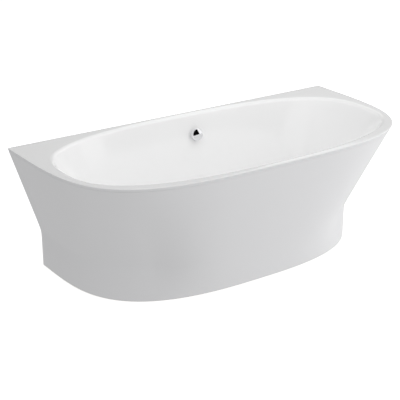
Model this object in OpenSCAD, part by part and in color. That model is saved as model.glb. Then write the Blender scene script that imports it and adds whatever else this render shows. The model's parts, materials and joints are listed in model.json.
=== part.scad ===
// Back-to-wall D-shaped acrylic bathtub with apron, support frame and rotary waste kit.
// Millimetres. Origin on the floor under the middle of the outline: +X along the wall,
// +Y towards the wall, +Z up. The wall plane is y = depth / 2.

/* [Tub outline] */
// Length of the rim along the wall
length = 1700; // [1600:10:1800]
// Depth of the rim from the wall to the front
depth = 800; // [780:5:850]
// Height of the rim above the floor
height = 580; // [560:5:600]
// Length of the apron at the floor
base_length = 1434; // [1380:2:1480]
// Depth of the apron at the floor, from the wall
base_depth = 655; // [645:5:680]
// Height at which the ends of the apron start to flare out
knee_z = 167; // [140:1:190]

/* [Bowl] */
// Half length of the opening in the rim
bowl_half_length = 788; // [770:1:790]
// Reach of the opening from the bowl's centre line towards the front
bowl_front = 380; // [365:1:380]
// Reach of the opening from the bowl's centre line towards the wall
bowl_rear = 360; // [345:1:360]
// Half length of the floor before it is rounded into the backrests
floor_half_length = 576; // [556:4:580]
// Height of the bowl's floor
floor_z = 148; // [146:1:152]
// Slope of the front and rear walls from the vertical, in degrees
wall_slope = 15; // [14:0.5:16]
// Radius that rounds the bowl's wall into the rim
rim_round = 16; // [12:1:26]
// Thickness of the bowl's acrylic and glass-fibre laminate
shell_t = 6; // [5:0.5:6]

/* [Apron] */
// Thickness of the apron
apron_t = 5; // [4:0.5:6]
// Gap between the apron and the floor
apron_gap = 2; // [1:0.5:4]
// Depth of the rim's down-turned lip, which the apron meets
lip_h = 14; // [12:1:18]

/* [Waste and overflow] */
// Distance of the waste and overflow from the middle of the length
waste_x = 67; // [0:1:80]
// Height of the overflow's centre
overflow_z = 481; // [475:1:500]
// Diameter of the rotary overflow knob
knob_d = 58; // [56:1:64]
// Lift of the drain plug at a quarter turn of the knob
plug_lift = 12; // [8:1:12]
// Outside diameter of the waste outlet pipe
outlet_d = 40; // [38:1:40]

/* [Support frame] */
// Outside width of the square steel tubes
tube_w = 30; // [28:1:30]
// Wall thickness of the square steel tubes
tube_t = 2; // [1.5:0.5:2.5]
// Thickness of the board bonded under the floor
board_t = 16; // [12:1:16]
// Diameter of the levelling feet's threaded studs
stud_d = 10; // [8:1:12]
// Diameter of the levelling feet's pads
pad_d = 60; // [50:2:70]

/* [Hidden] */

// Colours of the materials
acrylic = "whitesmoke";
zinc = "silver";
chrome = "lightsteelblue";
white_plastic = "gainsboro";
black_plastic = "dimgray";
seal_rubber = "darkslategray";
timber = "burlywood";

// Places that the whole model shares
wall_y = depth / 2;
bowl_y = wall_y - 385;
lip_z = height - lip_h;
edge_round = 3;
edge_z = height - edge_round;
deck_z = height - shell_t;
board_top = floor_z - shell_t;
rail_top = board_top - board_t;
rail_z = rail_top - tube_w;
clearance = 0.3;

// Exponents of the rim's and the base's outline: along the length, and across the depth
rim_exp = [3.6, 4.4];
base_exp = [2.72, 3.77];
// Radius that softens the knee of the flared ends
knee_soft = 15;
// Direction of the outline's normal at which the flare has its full knee, and where it has none
knee_full = 60;
knee_none = 89;
// Exponent of the bowl's egg-shaped outlines
bowl_exp = 2.7;
// Share of the floor's outline that stays flat, and share of the wall's height that is rounded
floor_flat = 0.74;
fillet_rise = 0.34;

function clamp01(x) = max(0, min(1, x));
function smooth(x) = let (u = clamp01(x)) u * u * (3 - 2 * u);
function soft(x) = (x + sqrt(x * x + knee_soft * knee_soft)) / 2;

// ---- Outer form: a D-shaped superellipse that is lofted from the base to the rim ----

// Share of the turn round the outline that lies along the length, at angle w of 0 to 180
function turn_share(w) =
    let (c = pow(abs(cos(w)), rim_exp[0]), s = pow(abs(sin(w)), rim_exp[1])) c / (c + s);
// Point of an outline with half length a and depth b, measured from the wall
function outline(w, a, b, e) =
    let (c = turn_share(w))
    [sign(cos(w)) * a * pow(c, 1 / e[0]), b * pow(1 - c, 1 / e[1])];
// Direction of the rim's normal, in degrees away from the length
function normal_angle(w) =
    let (p = outline(w, 1, 1, rim_exp))
    atan2(rim_exp[1] / depth * pow(p[1], rim_exp[1] - 1),
          2 * rim_exp[0] / length * pow(abs(p[0]), rim_exp[0] - 1));
// Share of the way from the base's outline to the rim's at height z, with and without a knee
function kneed_rise(z) =
    (soft(z - knee_z) - soft(-knee_z)) / (soft(edge_z - knee_z) - soft(-knee_z));
function rise(w, z) =
    let (f = smooth((normal_angle(w) - knee_full) / (knee_none - knee_full)), h = min(z, edge_z))
    (1 - f) * kneed_rise(h) + f * h / edge_z;
// Point of the outer form at angle w and height z, moved inwards by inset
function form(w, z, inset = 0) =
    let (low = outline(w, base_length / 2 - inset, base_depth - inset, base_exp),
         high = outline(w, length / 2 - inset, depth - inset, rim_exp),
         p = low + rise(w, z) * (high - low))
    [p[0], wall_y - max(inset, p[1]), z];

// ---- Bowl: egg-shaped outlines about the bowl's centre, joined by a rounded profile ----

// Distance of the wall's foot from the centre line, for a wall of the given slope
function foot_reach(reach) = reach - (height - floor_z) * tan(wall_slope);
// Growth of the outlines that gives the underside its distance from the inside
under_grow = shell_t / cos(wall_slope) - shell_t * tan(wall_slope);

function egg(phi, a, front, rear) =
    pow(pow(abs(cos(phi)) / a, bowl_exp)
        + pow(abs(sin(phi)) / (sin(phi) < 0 ? front : rear), bowl_exp), -1 / bowl_exp);
function mouth_r(phi, grow = 0) = egg(phi, bowl_half_length, bowl_front, bowl_rear) + grow;
function foot_r(phi, grow = 0) =
    egg(phi, floor_half_length, foot_reach(bowl_front), foot_reach(bowl_rear)) + grow;
function bezier(a, b, c, u) = (1 - u) * (1 - u) * a + 2 * u * (1 - u) * b + u * u * c;
function mix(a, b, u) = a + u * (b - a);

floor_stations = [0.35, 0.7];
fillet_stations = [0, 0.18, 0.36, 0.54, 0.72, 0.88];
wall_stations = [0, 0.5];
round_stations = [0, 0.25, 0.5, 0.75, 1];
// The profile from the floor to the rim as [radius, height], lowered by drop
function bowl_profile(phi, grow, drop) =
    let (foot = [foot_r(phi, grow), floor_z - drop],
         mouth = [mouth_r(phi, grow), height - drop],
         flat = [floor_flat * foot[0], foot[1]],
         round_r = rim_round - drop,
         spring = mix(foot, mouth, fillet_rise),
         brow = mix(foot, mouth, 1 - round_r / (height - floor_z)),
         deck = mouth + [round_r, 0])
    concat([for (u = floor_stations) [u * flat[0], flat[1]]],
           [for (u = fillet_stations) bezier(flat, foot, spring, u)],
           [for (u = wall_stations) mix(spring, brow, u)],
           [for (u = round_stations) bezier(brow, mouth, deck, u)]);

front_steps = 60;
rear_steps = 28;
lip_t = 5;
// Point i of the rim's whole outline at height z: the D-shaped front, then the straight rear
function rim_point(i, z, inset) =
    i <= front_steps ? form(i * 180 / front_steps, z, inset)
    : let (a = form(0, z, inset)[0]) [mix(-a, a, (i - front_steps) / rear_steps), wall_y - inset, z];
edge_45 = edge_round * (1 - cos(45));
function rim_edge(i) = [
    rim_point(i, height, edge_round), rim_point(i, height - edge_45, edge_45),
    rim_point(i, edge_z, 0), rim_point(i, lip_z, 0),
    rim_point(i, lip_z, lip_t), rim_point(i, deck_z, lip_t)
];
function reversed(v) = [for (i = [len(v) - 1:-1:0]) v[i]];
function around(profile, phi) =
    [for (p = profile) [p[0] * cos(phi), bowl_y + p[0] * sin(phi), p[1]]];
// One radial section of the tub, from the floor's centre over the rim to the underside's centre
function tub_section(i) =
    let (edge = rim_point(i, height, 0), phi = atan2(edge[1] - bowl_y, edge[0]))
    concat(around(bowl_profile(phi, 0, 0), phi), rim_edge(i),
           reversed(around(bowl_profile(phi, under_grow, shell_t), phi)));

// Closes a loft of n sections round a vertical axis, each with m points, between two poles
module revolved_loft(sections, top_pole, bottom_pole) {
    n = len(sections);
    m = len(sections[0]);
    points = concat([for (s = sections) each s], [top_pole, bottom_pole]);
    side = [for (i = [0:n - 1], k = [0:m - 2])
        let (a = i * m + k, b = ((i + 1) % n) * m + k) each [[a, b, a + 1], [b, b + 1, a + 1]]];
    top = [for (i = [0:n - 1]) [n * m, ((i + 1) % n) * m, i * m]];
    bottom = [for (i = [0:n - 1]) [n * m + 1, i * m + m - 1, ((i + 1) % n) * m + m - 1]];
    polyhedron(points, concat(side, top, bottom));
}

// Places children on the rear wall at the overflow, +Z into the bowl and +Y up the wall
overflow_depth = wall_y - bowl_y - bowl_rear + (height - overflow_z) * tan(wall_slope);
module at_overflow() {
    translate([waste_x, wall_y - overflow_depth, overflow_z]) rotate([90 - wall_slope, 0, 0]) children();
}
module at_waste() {
    translate([waste_x, bowl_y, 0]) children();
}
module tube(r_out, r_in, z0, z1) {
    translate([0, 0, z0]) difference() {
        cylinder(r = r_out, h = z1 - z0);
        translate([0, 0, -1]) cylinder(r = r_in, h = z1 - z0 + 2);
    }
}
module disc(r, z0, z1) {
    translate([0, 0, z0]) cylinder(r = r, h = z1 - z0);
}

// Bores and rods
$fn = 48;
overflow_hole_r = 26;
drain_hole_r = 26.5;

module basin_shell() {
    sections = [for (i = [0:front_steps + rear_steps - 1]) tub_section(i)];
    color(acrylic) difference() {
        revolved_loft(reversed(sections), [0, bowl_y, floor_z], [0, bowl_y, floor_z - shell_t]);
        at_waste() disc(drain_hole_r, floor_z - 2 * shell_t, floor_z + shell_t);
        at_overflow() disc(overflow_hole_r, -2 * shell_t, shell_t);
    }
}

// ---- Apron ----

// Heights of the apron's stations, which are closest together round the knee
apron_shares = [0, 0.1, 0.17, 0.22, 0.25, 0.275, 0.3, 0.33, 0.37, 0.45, 0.6, 0.8, 1];
apron_top = lip_z - clearance;
apron_levels = [for (u = apron_shares) mix(apron_gap, apron_top, u)];
module skirt_panel() {
    n = front_steps + 1;
    m = 2 * n;
    points = [for (z = apron_levels) each concat(
        [for (i = [0:n - 1]) form(i * 180 / front_steps, z)],
        [for (i = [n - 1:-1:0]) let (p = form(i * 180 / front_steps, z, apron_t))
            [p[0], i == 0 || i == n - 1 ? wall_y : p[1], z]])];
    top = (len(apron_levels) - 1) * m;
    sides = [for (k = [0:len(apron_levels) - 2], i = [0:m - 1])
        let (a = k * m + i, b = k * m + (i + 1) % m) each [[a, b, a + m], [b, b + m, a + m]]];
    caps = [for (i = [0:n - 2]) let (j = m - 1 - i) each [
        [i, j, i + 1], [i + 1, j, j - 1],
        [top + i, top + i + 1, top + j], [top + i + 1, top + j - 1, top + j]]];
    color(acrylic) polyhedron(points, concat(sides, caps));
}

// ---- Boards and battens ----

board_size = [860, 320];
board_corner = 60;
board_waste_r = 62;
screw_x = [-200, 0, 200];
front_rail_y = -115;
rear_rail_y = 145;
pilot_r = 2.3;
pilot_h = 12;
module base_board() {
    color(timber) difference() {
        translate([0, bowl_y, rail_top]) linear_extrude(board_t)
            for (size = [[board_size[0], board_size[1] - 2 * board_corner],
                         [board_size[0] - 2 * board_corner, board_size[1]]]) square(size, center = true);
        at_waste() disc(board_waste_r, rail_top - 1, board_top + 1);
        for (x = screw_x, y = [front_rail_y, rear_rail_y])
            translate([x, y, 0]) disc(pilot_r, rail_top - 1, rail_top + pilot_h);
    }
}

corner_board_t = 16;
corner_gap = 14;
bowl_gap = rim_round + 14;
corner_phi = [12, 45];
corner_steps = 10;
bracket_x = 730;
bracket_w = 60;
bracket_screw_x = [-20, 20];
bracket_screw_inset = 24;
corner_board_z = deck_z - corner_board_t;
// Right-hand board under the triangular deck: a curved edge round the bowl, straight outer edges
module corner_board_outline() {
    end_x = form(0, corner_board_z)[0] - corner_gap;
    end_y = wall_y - lip_t - 3;
    curve = [for (i = [0:corner_steps])
        let (phi = mix(corner_phi[0], corner_phi[1], i / corner_steps), r = mouth_r(phi, bowl_gap))
        [r * cos(phi), bowl_y + r * sin(phi)]];
    polygon(concat([[end_x, curve[0][1]]], curve, [[curve[corner_steps][0], end_y], [end_x, end_y]]));
}
module corner_board(side) {
    color(timber) difference() {
        mirror([side < 0 ? 1 : 0, 0, 0]) translate([0, 0, corner_board_z + clearance])
            linear_extrude(corner_board_t - 2 * clearance) corner_board_outline();
        for (x = bracket_screw_x)
            translate([side * bracket_x + x, wall_y - bracket_screw_inset, corner_board_z - 1])
                disc(pilot_r, 0, pilot_h);
    }
}
module corner_board_left() {
    corner_board(-1);
}
module corner_board_right() {
    corner_board(1);
}

batten_w = 20;
batten_d = 30;
batten_z = [20, corner_board_z - 8];
batten_gap = 1;
// Batten inside each end of the apron, along the wall: its outer edge follows the apron
module side_batten(side) {
    between = [for (z = apron_levels) if (z > batten_z[0] && z < batten_z[1]) z];
    edge = [for (z = concat([batten_z[0]], between, [batten_z[1]]))
        [form(0, z, apron_t)[0] - batten_gap, z]];
    color(timber) mirror([side < 0 ? 1 : 0, 0, 0]) translate([0, wall_y - 4, 0])
        rotate([90, 0, 0]) linear_extrude(batten_d)
            polygon(concat(edge, reversed([for (p = edge) [p[0] - batten_w, p[1]]])));
}
module side_batten_left() {
    side_batten(-1);
}
module side_batten_right() {
    side_batten(1);
}

// ---- Steel frame: square tubes, bolted together ----

front_rail_half = 540;
rear_rail_half = 660;
cross_x = 480;
outrigger_x = 640;
outrigger_end_y = wall_y - 30;
foot_x = 430;
wall_foot_y = wall_y - 60;
bolt_r = 4;
bolt_hole_r = 4.2;
stud_hole_r = stud_d / 2 + clearance;
screw_r = 2.2;
mid_rail_z = rail_z + tube_w / 2;

// Square tube from z = 0 to h, with closed end plates
module square_tube(h, w = tube_w) {
    difference() {
        translate([-w / 2, -w / 2, 0]) cube([w, w, h]);
        translate([tube_t - w / 2, tube_t - w / 2, tube_t])
            cube([w - 2 * tube_t, w - 2 * tube_t, h - 2 * tube_t]);
    }
}
module along_x(half, y) {
    translate([-half, y, mid_rail_z]) rotate([0, 90, 0]) square_tube(2 * half);
}
module along_y(x, y0, y1) {
    translate([x, y1, mid_rail_z]) rotate([90, 0, 0]) square_tube(y1 - y0);
}
module bolt_holes(xs, y) {
    for (x = xs)
        translate([x, y - tube_w, mid_rail_z]) rotate([-90, 0, 0]) disc(bolt_hole_r, 0, 2 * tube_w);
}
module stud_holes(xs, y) {
    for (x = xs) translate([x, y, 0]) disc(stud_hole_r, rail_z - 1, rail_z + tube_w / 2);
}
module screw_holes(y) {
    for (x = screw_x) translate([x, y, 0]) disc(pilot_r, rail_z - 1, rail_top + 1);
}
module rail_front() {
    color(zinc) difference() {
        along_x(front_rail_half, front_rail_y);
        bolt_holes([-cross_x, cross_x], front_rail_y);
        stud_holes([-foot_x, foot_x], front_rail_y);
        screw_holes(front_rail_y);
    }
}
module rail_rear() {
    color(zinc) difference() {
        along_x(rear_rail_half, rear_rail_y);
        bolt_holes([-cross_x, cross_x, -outrigger_x, outrigger_x], rear_rail_y);
        stud_holes([-foot_x, foot_x], rear_rail_y);
        screw_holes(rear_rail_y);
    }
}
module cross_rail(side) {
    color(zinc) difference() {
        along_y(side * cross_x, front_rail_y + tube_w / 2, rear_rail_y - tube_w / 2);
        bolt_holes([side * cross_x], front_rail_y + tube_w / 2);
        bolt_holes([side * cross_x], rear_rail_y - tube_w / 2);
    }
}
module cross_rail_left() {
    cross_rail(-1);
}
module cross_rail_right() {
    cross_rail(1);
}
module outrigger(side) {
    color(zinc) difference() {
        along_y(side * outrigger_x, rear_rail_y + tube_w / 2, outrigger_end_y);
        bolt_holes([side * outrigger_x], rear_rail_y + tube_w / 2);
        stud_holes([side * outrigger_x], wall_foot_y);
    }
}
module outrigger_left() {
    outrigger(-1);
}
module outrigger_right() {
    outrigger(1);
}
post_w = 25;
module rim_post(side) {
    color(zinc) translate([side * outrigger_x, wall_foot_y, rail_top])
        square_tube(corner_board_z - rail_top, post_w);
}
module rim_post_left() {
    rim_post(-1);
}
module rim_post_right() {
    rim_post(1);
}

// Wall brackets: a steel angle under each corner board, with two screw holes in the wall leg
bracket_t = 3;
bracket_drop = 50;
bracket_leg = 45;
bracket_hole_r = 4;
bracket_hole_span = 36;
bracket_hole_z = corner_board_z - 28;
module wall_bracket(side) {
    color(zinc) translate([side * bracket_x, 0, 0]) difference() {
        union() {
            translate([-bracket_w / 2, wall_y - bracket_t, corner_board_z - bracket_drop])
                cube([bracket_w, bracket_t, bracket_drop]);
            translate([-bracket_w / 2, wall_y - bracket_leg, corner_board_z - bracket_t])
                cube([bracket_w, bracket_leg, bracket_t]);
        }
        for (x = [-bracket_hole_span / 2, bracket_hole_span / 2])
            translate([x, wall_y - 2 * bracket_t, bracket_hole_z]) rotate([-90, 0, 0])
                disc(bracket_hole_r, 0, 3 * bracket_t);
        for (x = bracket_screw_x)
            translate([x, wall_y - bracket_screw_inset, 0])
                disc(pilot_r, corner_board_z - 2 * bracket_t, corner_board_z + 1);
    }
}
module wall_bracket_left() {
    wall_bracket(-1);
}
module wall_bracket_right() {
    wall_bracket(1);
}

// Straps from the front rail to the apron, each with an adhesive pad
strap_w = 24;
strap_t = 3;
strap_rise = 30;
pad_t = 3;
// Depth from the wall of the apron's inner surface at length x and height z
function apron_depth(x, z) =
    let (low = (base_depth - apron_t) * pow(1 - pow(2 * abs(x) / base_length, base_exp[0]), 1 / base_exp[1]),
         high = (depth - apron_t) * pow(1 - pow(2 * abs(x) / length, rim_exp[0]), 1 / rim_exp[1]))
    mix(low, high, z / height);
function strap_line(x, z, off) = [wall_y - apron_depth(abs(x) + strap_w / 2, z) + off, z];
// Extrudes a drawing in the YZ plane along X, centred on x
module slab_x(x, w) {
    translate([x - w / 2, 0, 0]) rotate([90, 0, 90]) linear_extrude(w) children();
}
module panel_brackets() {
    z0 = rail_z - strap_t;
    z1 = z0 + strap_rise;
    color(zinc) for (x = screw_x) difference() {
        slab_x(x, strap_w) polygon([
            [front_rail_y + tube_w / 2, z0], [front_rail_y + tube_w / 2, rail_z],
            strap_line(x, rail_z, pad_t + 1 + strap_t), strap_line(x, z1, pad_t + 1 + strap_t),
            strap_line(x, z1, pad_t + 1), strap_line(x, z0, pad_t + 1)]);
        translate([x, front_rail_y, 0]) disc(pilot_r, z0 - 1, rail_z + 1);
    }
}
module adhesive_pads() {
    z0 = rail_z;
    z1 = rail_z + strap_rise - 2 * strap_t;
    color(white_plastic) for (x = screw_x) slab_x(x, strap_w) polygon([
        strap_line(x, z0, 0.4), strap_line(x, z1, 0.4), strap_line(x, z1, pad_t + 0.9),
        strap_line(x, z0, pad_t + 0.9)]);
}

// ---- Fasteners ----

hex_fn = 6;
module pan_screw(shank, head_r = 4.5, head_h = 2.6) {
    cylinder(r = screw_r, h = shank);
    translate([0, 0, -head_h]) cylinder(r1 = head_r - 1.2, r2 = head_r, h = head_h);
}
module board_screws() {
    reach = rail_top - rail_z + pilot_h - 2;
    color(zinc) for (x = screw_x) {
        translate([x, front_rail_y, rail_z - strap_t]) pan_screw(reach + strap_t);
        translate([x, rear_rail_y, rail_z]) pan_screw(reach);
    }
}
module bracket_screws() {
    color(zinc) for (side = [-1, 1], x = bracket_screw_x)
        translate([side * bracket_x + x, wall_y - bracket_screw_inset, corner_board_z - bracket_t])
            pan_screw(bracket_t + pilot_h - 3);
}
bolt_head_r = 7.5;
bolt_head_h = 5.3;
// Hexagon bolt along +Y whose head rests on the tube's front face, at height mid_rail_z
module frame_bolt(x, y) {
    translate([x, y, mid_rail_z]) rotate([-90, 0, 0]) {
        disc(bolt_r, 0, tube_w + tube_t + 8);
        translate([0, 0, -bolt_head_h]) cylinder(r = bolt_head_r, h = bolt_head_h, $fn = hex_fn);
    }
}
module frame_bolts() {
    color(zinc) for (side = [-1, 1]) {
        frame_bolt(side * cross_x, front_rail_y - tube_w / 2);
        frame_bolt(side * outrigger_x, rear_rail_y - tube_w / 2);
        translate([2 * side * cross_x, 2 * rear_rail_y, 0]) rotate([0, 0, 180])
            frame_bolt(side * cross_x, rear_rail_y - tube_w / 2);
    }
}

// ---- Levelling feet ----

feet = [[-foot_x, front_rail_y], [foot_x, front_rail_y], [-foot_x, rear_rail_y],
        [foot_x, rear_rail_y], [-outrigger_x, wall_foot_y], [outrigger_x, wall_foot_y]];
nut_h = 8;
stud_foot_z = 6;
stud_top_z = rail_top - 8;
module lock_nuts() {
    color(zinc) for (p = feet) translate([p[0], p[1], rail_z - nut_h]) difference() {
        cylinder(r = 0.95 * stud_d, h = nut_h - 0.1, $fn = hex_fn);
        translate([0, 0, -1]) cylinder(r = stud_d / 2 + 0.05, h = nut_h + 2);
    }
}
module foot_stud(i) {
    color(zinc) translate([feet[i][0], feet[i][1], 0]) {
        disc(stud_d / 2, stud_foot_z, stud_top_z);
        translate([0, 0, 20]) cylinder(r = 0.8 * stud_d, h = 6, $fn = hex_fn);
    }
}
module foot_pad(i) {
    color(black_plastic) translate([feet[i][0], feet[i][1], 0]) rotate_extrude() polygon([
        [0, 0], [pad_d / 2 - 2, 0], [pad_d / 2, 2], [pad_d / 2, 5], [pad_d / 2 - 8, 9],
        [stud_d + 1, 11], [stud_d, 19], [stud_d / 2, 19], [stud_d / 2, stud_foot_z], [0, stud_foot_z]]);
}
module foot_stud_front_left() {
    foot_stud(0);
}
module foot_stud_front_right() {
    foot_stud(1);
}
module foot_stud_rear_left() {
    foot_stud(2);
}
module foot_stud_rear_right() {
    foot_stud(3);
}
module foot_stud_wall_left() {
    foot_stud(4);
}
module foot_stud_wall_right() {
    foot_stud(5);
}
module foot_pad_front_left() {
    foot_pad(0);
}
module foot_pad_front_right() {
    foot_pad(1);
}
module foot_pad_rear_left() {
    foot_pad(2);
}
module foot_pad_rear_right() {
    foot_pad(3);
}
module foot_pad_wall_left() {
    foot_pad(4);
}
module foot_pad_wall_right() {
    foot_pad(5);
}

// ---- Overflow, drawn from the bowl's surface: z = 0 on the wall, +Z into the bowl ----

knob_z = [5, 23];
knob_wall = 2.5;
knob_edge = 5;
spindle_r = 3.5;
module overflow_knob() {
    r = knob_d / 2;
    edge = [for (a = [0:15:90])
        [r - knob_edge + knob_edge * cos(a), knob_z[1] - knob_edge + knob_edge * sin(a)]];
    color(chrome) at_overflow() rotate_extrude($fn = 96) polygon(concat(
        [[spindle_r, knob_z[0] + 3], [6, knob_z[0] + 3], [6, knob_z[1] - 3.5],
         [r - knob_edge, knob_z[1] - 3.5], [r - knob_wall, knob_z[1] - knob_edge - 1],
         [r - knob_wall, knob_z[0]], [r, knob_z[0]]],
        edge, [[0, knob_z[1] + 1], [0, knob_z[1] - 3], [spindle_r, knob_z[1] - 3]]));
}
elbow_back = -36;
elbow_front = -9;
elbow_r = 32;
elbow_t = 3;
module knob_spindle() {
    color(zinc) at_overflow() disc(spindle_r, elbow_back + 4, knob_z[1] - 3);
}
cam_z = [-28, -23];
cam_arm = 14;
module cable_cam() {
    color(black_plastic) at_overflow() difference() {
        translate([0, 0, cam_z[0]]) linear_extrude(cam_z[1] - cam_z[0]) {
            circle(r = 9);
            translate([0, -4]) square([cam_arm, 8]);
            translate([cam_arm, 0]) circle(r = 4);
        }
        disc(spindle_r, cam_z[0] - 1, cam_z[1] + 1);
        translate([cam_arm, 0, 0]) disc(1.2, cam_z[0] - 1, cam_z[1] + 1);
    }
}
insert_r = 24.5;
insert_bore = 21;
bridge_z = [-18, -13];
module overflow_insert() {
    color(chrome) at_overflow() {
        rotate_extrude($fn = 96) polygon([
            [insert_bore, -20], [insert_r, -20], [insert_r, 0.4], [insert_r + 3, 0.4],
            [insert_r + 3, 1.6], [insert_r + 2, 2.4], [insert_bore, 2.4]]);
        difference() {
            union() {
                disc(7, bridge_z[0], bridge_z[1]);
                for (a = [30:120:270]) rotate(a) translate([0, -2, bridge_z[0] + 0.5])
                    cube([insert_bore + 1, 4, bridge_z[1] - bridge_z[0] - 1]);
            }
            disc(spindle_r + 0.06, bridge_z[0] - 1, bridge_z[1] + 1);
        }
    }
}
module overflow_gasket() {
    color(seal_rubber) at_overflow() tube(elbow_r, insert_r + 1, elbow_front + 0.1, -shell_t - 0.4);
}
hose_r = 13;
hose_bore = 10.5;
spigot_end = 60;
outlet_z = -24;
gland_x = 26;
gland_r = 5;
cable_r = 2.5;
module overflow_elbow() {
    color(white_plastic) at_overflow() difference() {
        union() {
            disc(elbow_r, elbow_back, elbow_front);
            translate([0, 0, outlet_z]) rotate([90, 0, 0]) disc(hose_r, 0, spigot_end);
            translate([gland_x, 0, outlet_z]) rotate([90, 0, 0]) disc(gland_r, 0, 25);
        }
        disc(elbow_r - elbow_t, elbow_back + elbow_t, -15);
        disc(insert_r + 0.4, -20, elbow_front + 1);
        translate([0, 0, outlet_z]) rotate([90, 0, 0]) disc(hose_bore, 20, spigot_end + 1);
        translate([gland_x, 0, outlet_z]) rotate([90, 0, 0]) disc(cable_r, 22, 26);
    }
    color(white_plastic) at_overflow() tube(6, spindle_r + 0.1, elbow_back + 1, elbow_back + 7);
}

// ---- Hose and cable, swept along routes behind the rear wall: [y, z] at a fixed x ----

inlet_z = 78;
cable_in_z = 86;
function overflow_yz(up, out) =
    [wall_y - overflow_depth + up * sin(wall_slope) - out * cos(wall_slope),
     overflow_z + up * cos(wall_slope) + out * sin(wall_slope)];
hose_start = overflow_yz(-spigot_end - 0.2, outlet_z);
cable_start = overflow_yz(-25.2, outlet_z);
hose_route = [hose_start, hose_start + 20 * [-sin(wall_slope), -cos(wall_slope)],
    [341, 365], [328, 315], [311, 260], [291, 205], [265, 155], [236, 115],
    [200, 88], [160, inlet_z], [115, inlet_z], [bowl_y + 60.2, inlet_z]];
cable_route = [cable_start, cable_start + 20 * [-sin(wall_slope), -cos(wall_slope)],
    [352, 400], [340, 355], [324, 300], [307, 248], [286, 198], [258, 150], [228, 115],
    [195, 93], [155, cable_in_z], [110, cable_in_z], [bowl_y + 37.2, cable_in_z]];
function catmull(a, b, c, d, u) =
    0.5 * (2 * b + (c - a) * u + (2 * a - 5 * b + 4 * c - d) * u * u + (3 * b - 3 * c + d - a) * u * u * u);
// Smooth path through a route, with the given number of steps between two points
function smooth_path(v, steps) = let (n = len(v)) concat(
    [for (i = [0:n - 2], s = [0:steps - 1])
        catmull(v[max(0, i - 1)], v[i], v[i + 1], v[min(n - 1, i + 2)], s / steps)], [v[n - 1]]);
// Round tube of radius r swept along a path in the plane at x
module sweep_yz(x, path, r, sides) {
    n = len(path);
    rings = [for (i = [0:n - 1])
        let (t = path[min(n - 1, i + 1)] - path[max(0, i - 1)], u = t / norm(t))
        [for (k = [0:sides - 1]) let (a = 360 * k / sides, s = r * sin(a))
            [x + r * cos(a), path[i][0] - s * u[1], path[i][1] + s * u[0]]]];
    side = [for (i = [0:n - 2], k = [0:sides - 1])
        let (a = i * sides + k, b = i * sides + (k + 1) % sides) each
            [[a, b, a + sides], [b, b + sides, a + sides]]];
    ends = [[for (k = [sides - 1:-1:0]) k], [for (k = [0:sides - 1]) (n - 1) * sides + k]];
    polyhedron([for (ring = rings) each ring], [for (f = concat(side, ends)) reversed(f)]);
}
module overflow_hose() {
    color(white_plastic) sweep_yz(waste_x, smooth_path(hose_route, 4), hose_r, 12);
}
module bowden_cable() {
    color(black_plastic) sweep_yz(waste_x + gland_x, smooth_path(cable_route, 5), cable_r, 8);
}
hose_nut_r = 18;
module hose_nuts() {
    color(white_plastic) {
        at_overflow() translate([0, 0, outlet_z]) rotate([90, 0, 0])
            tube(hose_nut_r, hose_r + 0.3, spigot_end - 16, spigot_end + 4);
        at_waste() translate([0, 0, inlet_z]) rotate([-90, 0, 0])
            tube(hose_nut_r, hose_r + 0.3, 46, 66);
    }
}

// ---- Waste ----

flange_r = 35;
seat_z = floor_z + 1.5;
collar_r = 26;
cavity_r = 28;
body_r = 33;
body_z = [54, board_top - 3];
stem_r = 4;
stem_z = 85;
plug_z = floor_z + 3.4;
plug_r = 31.5;
spider_z = [118, 124];
module waste_flange() {
    color(chrome) at_waste() {
        rotate_extrude($fn = 96) polygon([
            [24, board_top - 26], [collar_r, board_top - 26], [collar_r, floor_z + 0.3],
            [flange_r, floor_z + 0.3], [flange_r, floor_z + 1.2], [flange_r - 3, floor_z + 2.6],
            [plug_r + 0.2, seat_z], [24, seat_z]]);
        difference() {
            union() {
                disc(8, spider_z[0], spider_z[1]);
                for (a = [45:90:315]) rotate(a) translate([0, -2, spider_z[0]])
                    cube([24.5, 4, spider_z[1] - spider_z[0]]);
            }
            disc(stem_r + 0.08, spider_z[0] - 1, spider_z[1] + 1);
        }
    }
}
module drain_plug() {
    dome = [for (i = [0:6]) let (u = 1 - i / 6) [(plug_r - 0.5) * u, plug_z + 2 + 4.6 * (1 - u * u)]];
    color(chrome) at_waste() rotate_extrude($fn = 96) polygon(concat(
        [[stem_r, plug_z - 7], [8, plug_z - 7], [8, plug_z], [25, plug_z], [25, plug_z + 1],
         [29, plug_z + 1], [29, plug_z], [plug_r, plug_z], [plug_r, plug_z + 1.5]],
        dome, [[0, plug_z + 2], [stem_r, plug_z + 2]]));
}
module plug_seal() {
    color(seal_rubber) at_waste() tube(29, 25, seat_z + clearance, plug_z + 1);
}
module plug_stem() {
    color(zinc) at_waste() disc(stem_r, stem_z, plug_z + 2);
}
module waste_gasket() {
    color(seal_rubber) at_waste() tube(38, 27.5, body_z[1] + 0.1, board_top - 0.1);
}
pin_y = 22;
pin_z = 80;
pin_r = 2;
pin_half = 22;
waste_out_z = 76;
outlet_r = outlet_d / 2;
pipe_t = 2.5;
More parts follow.
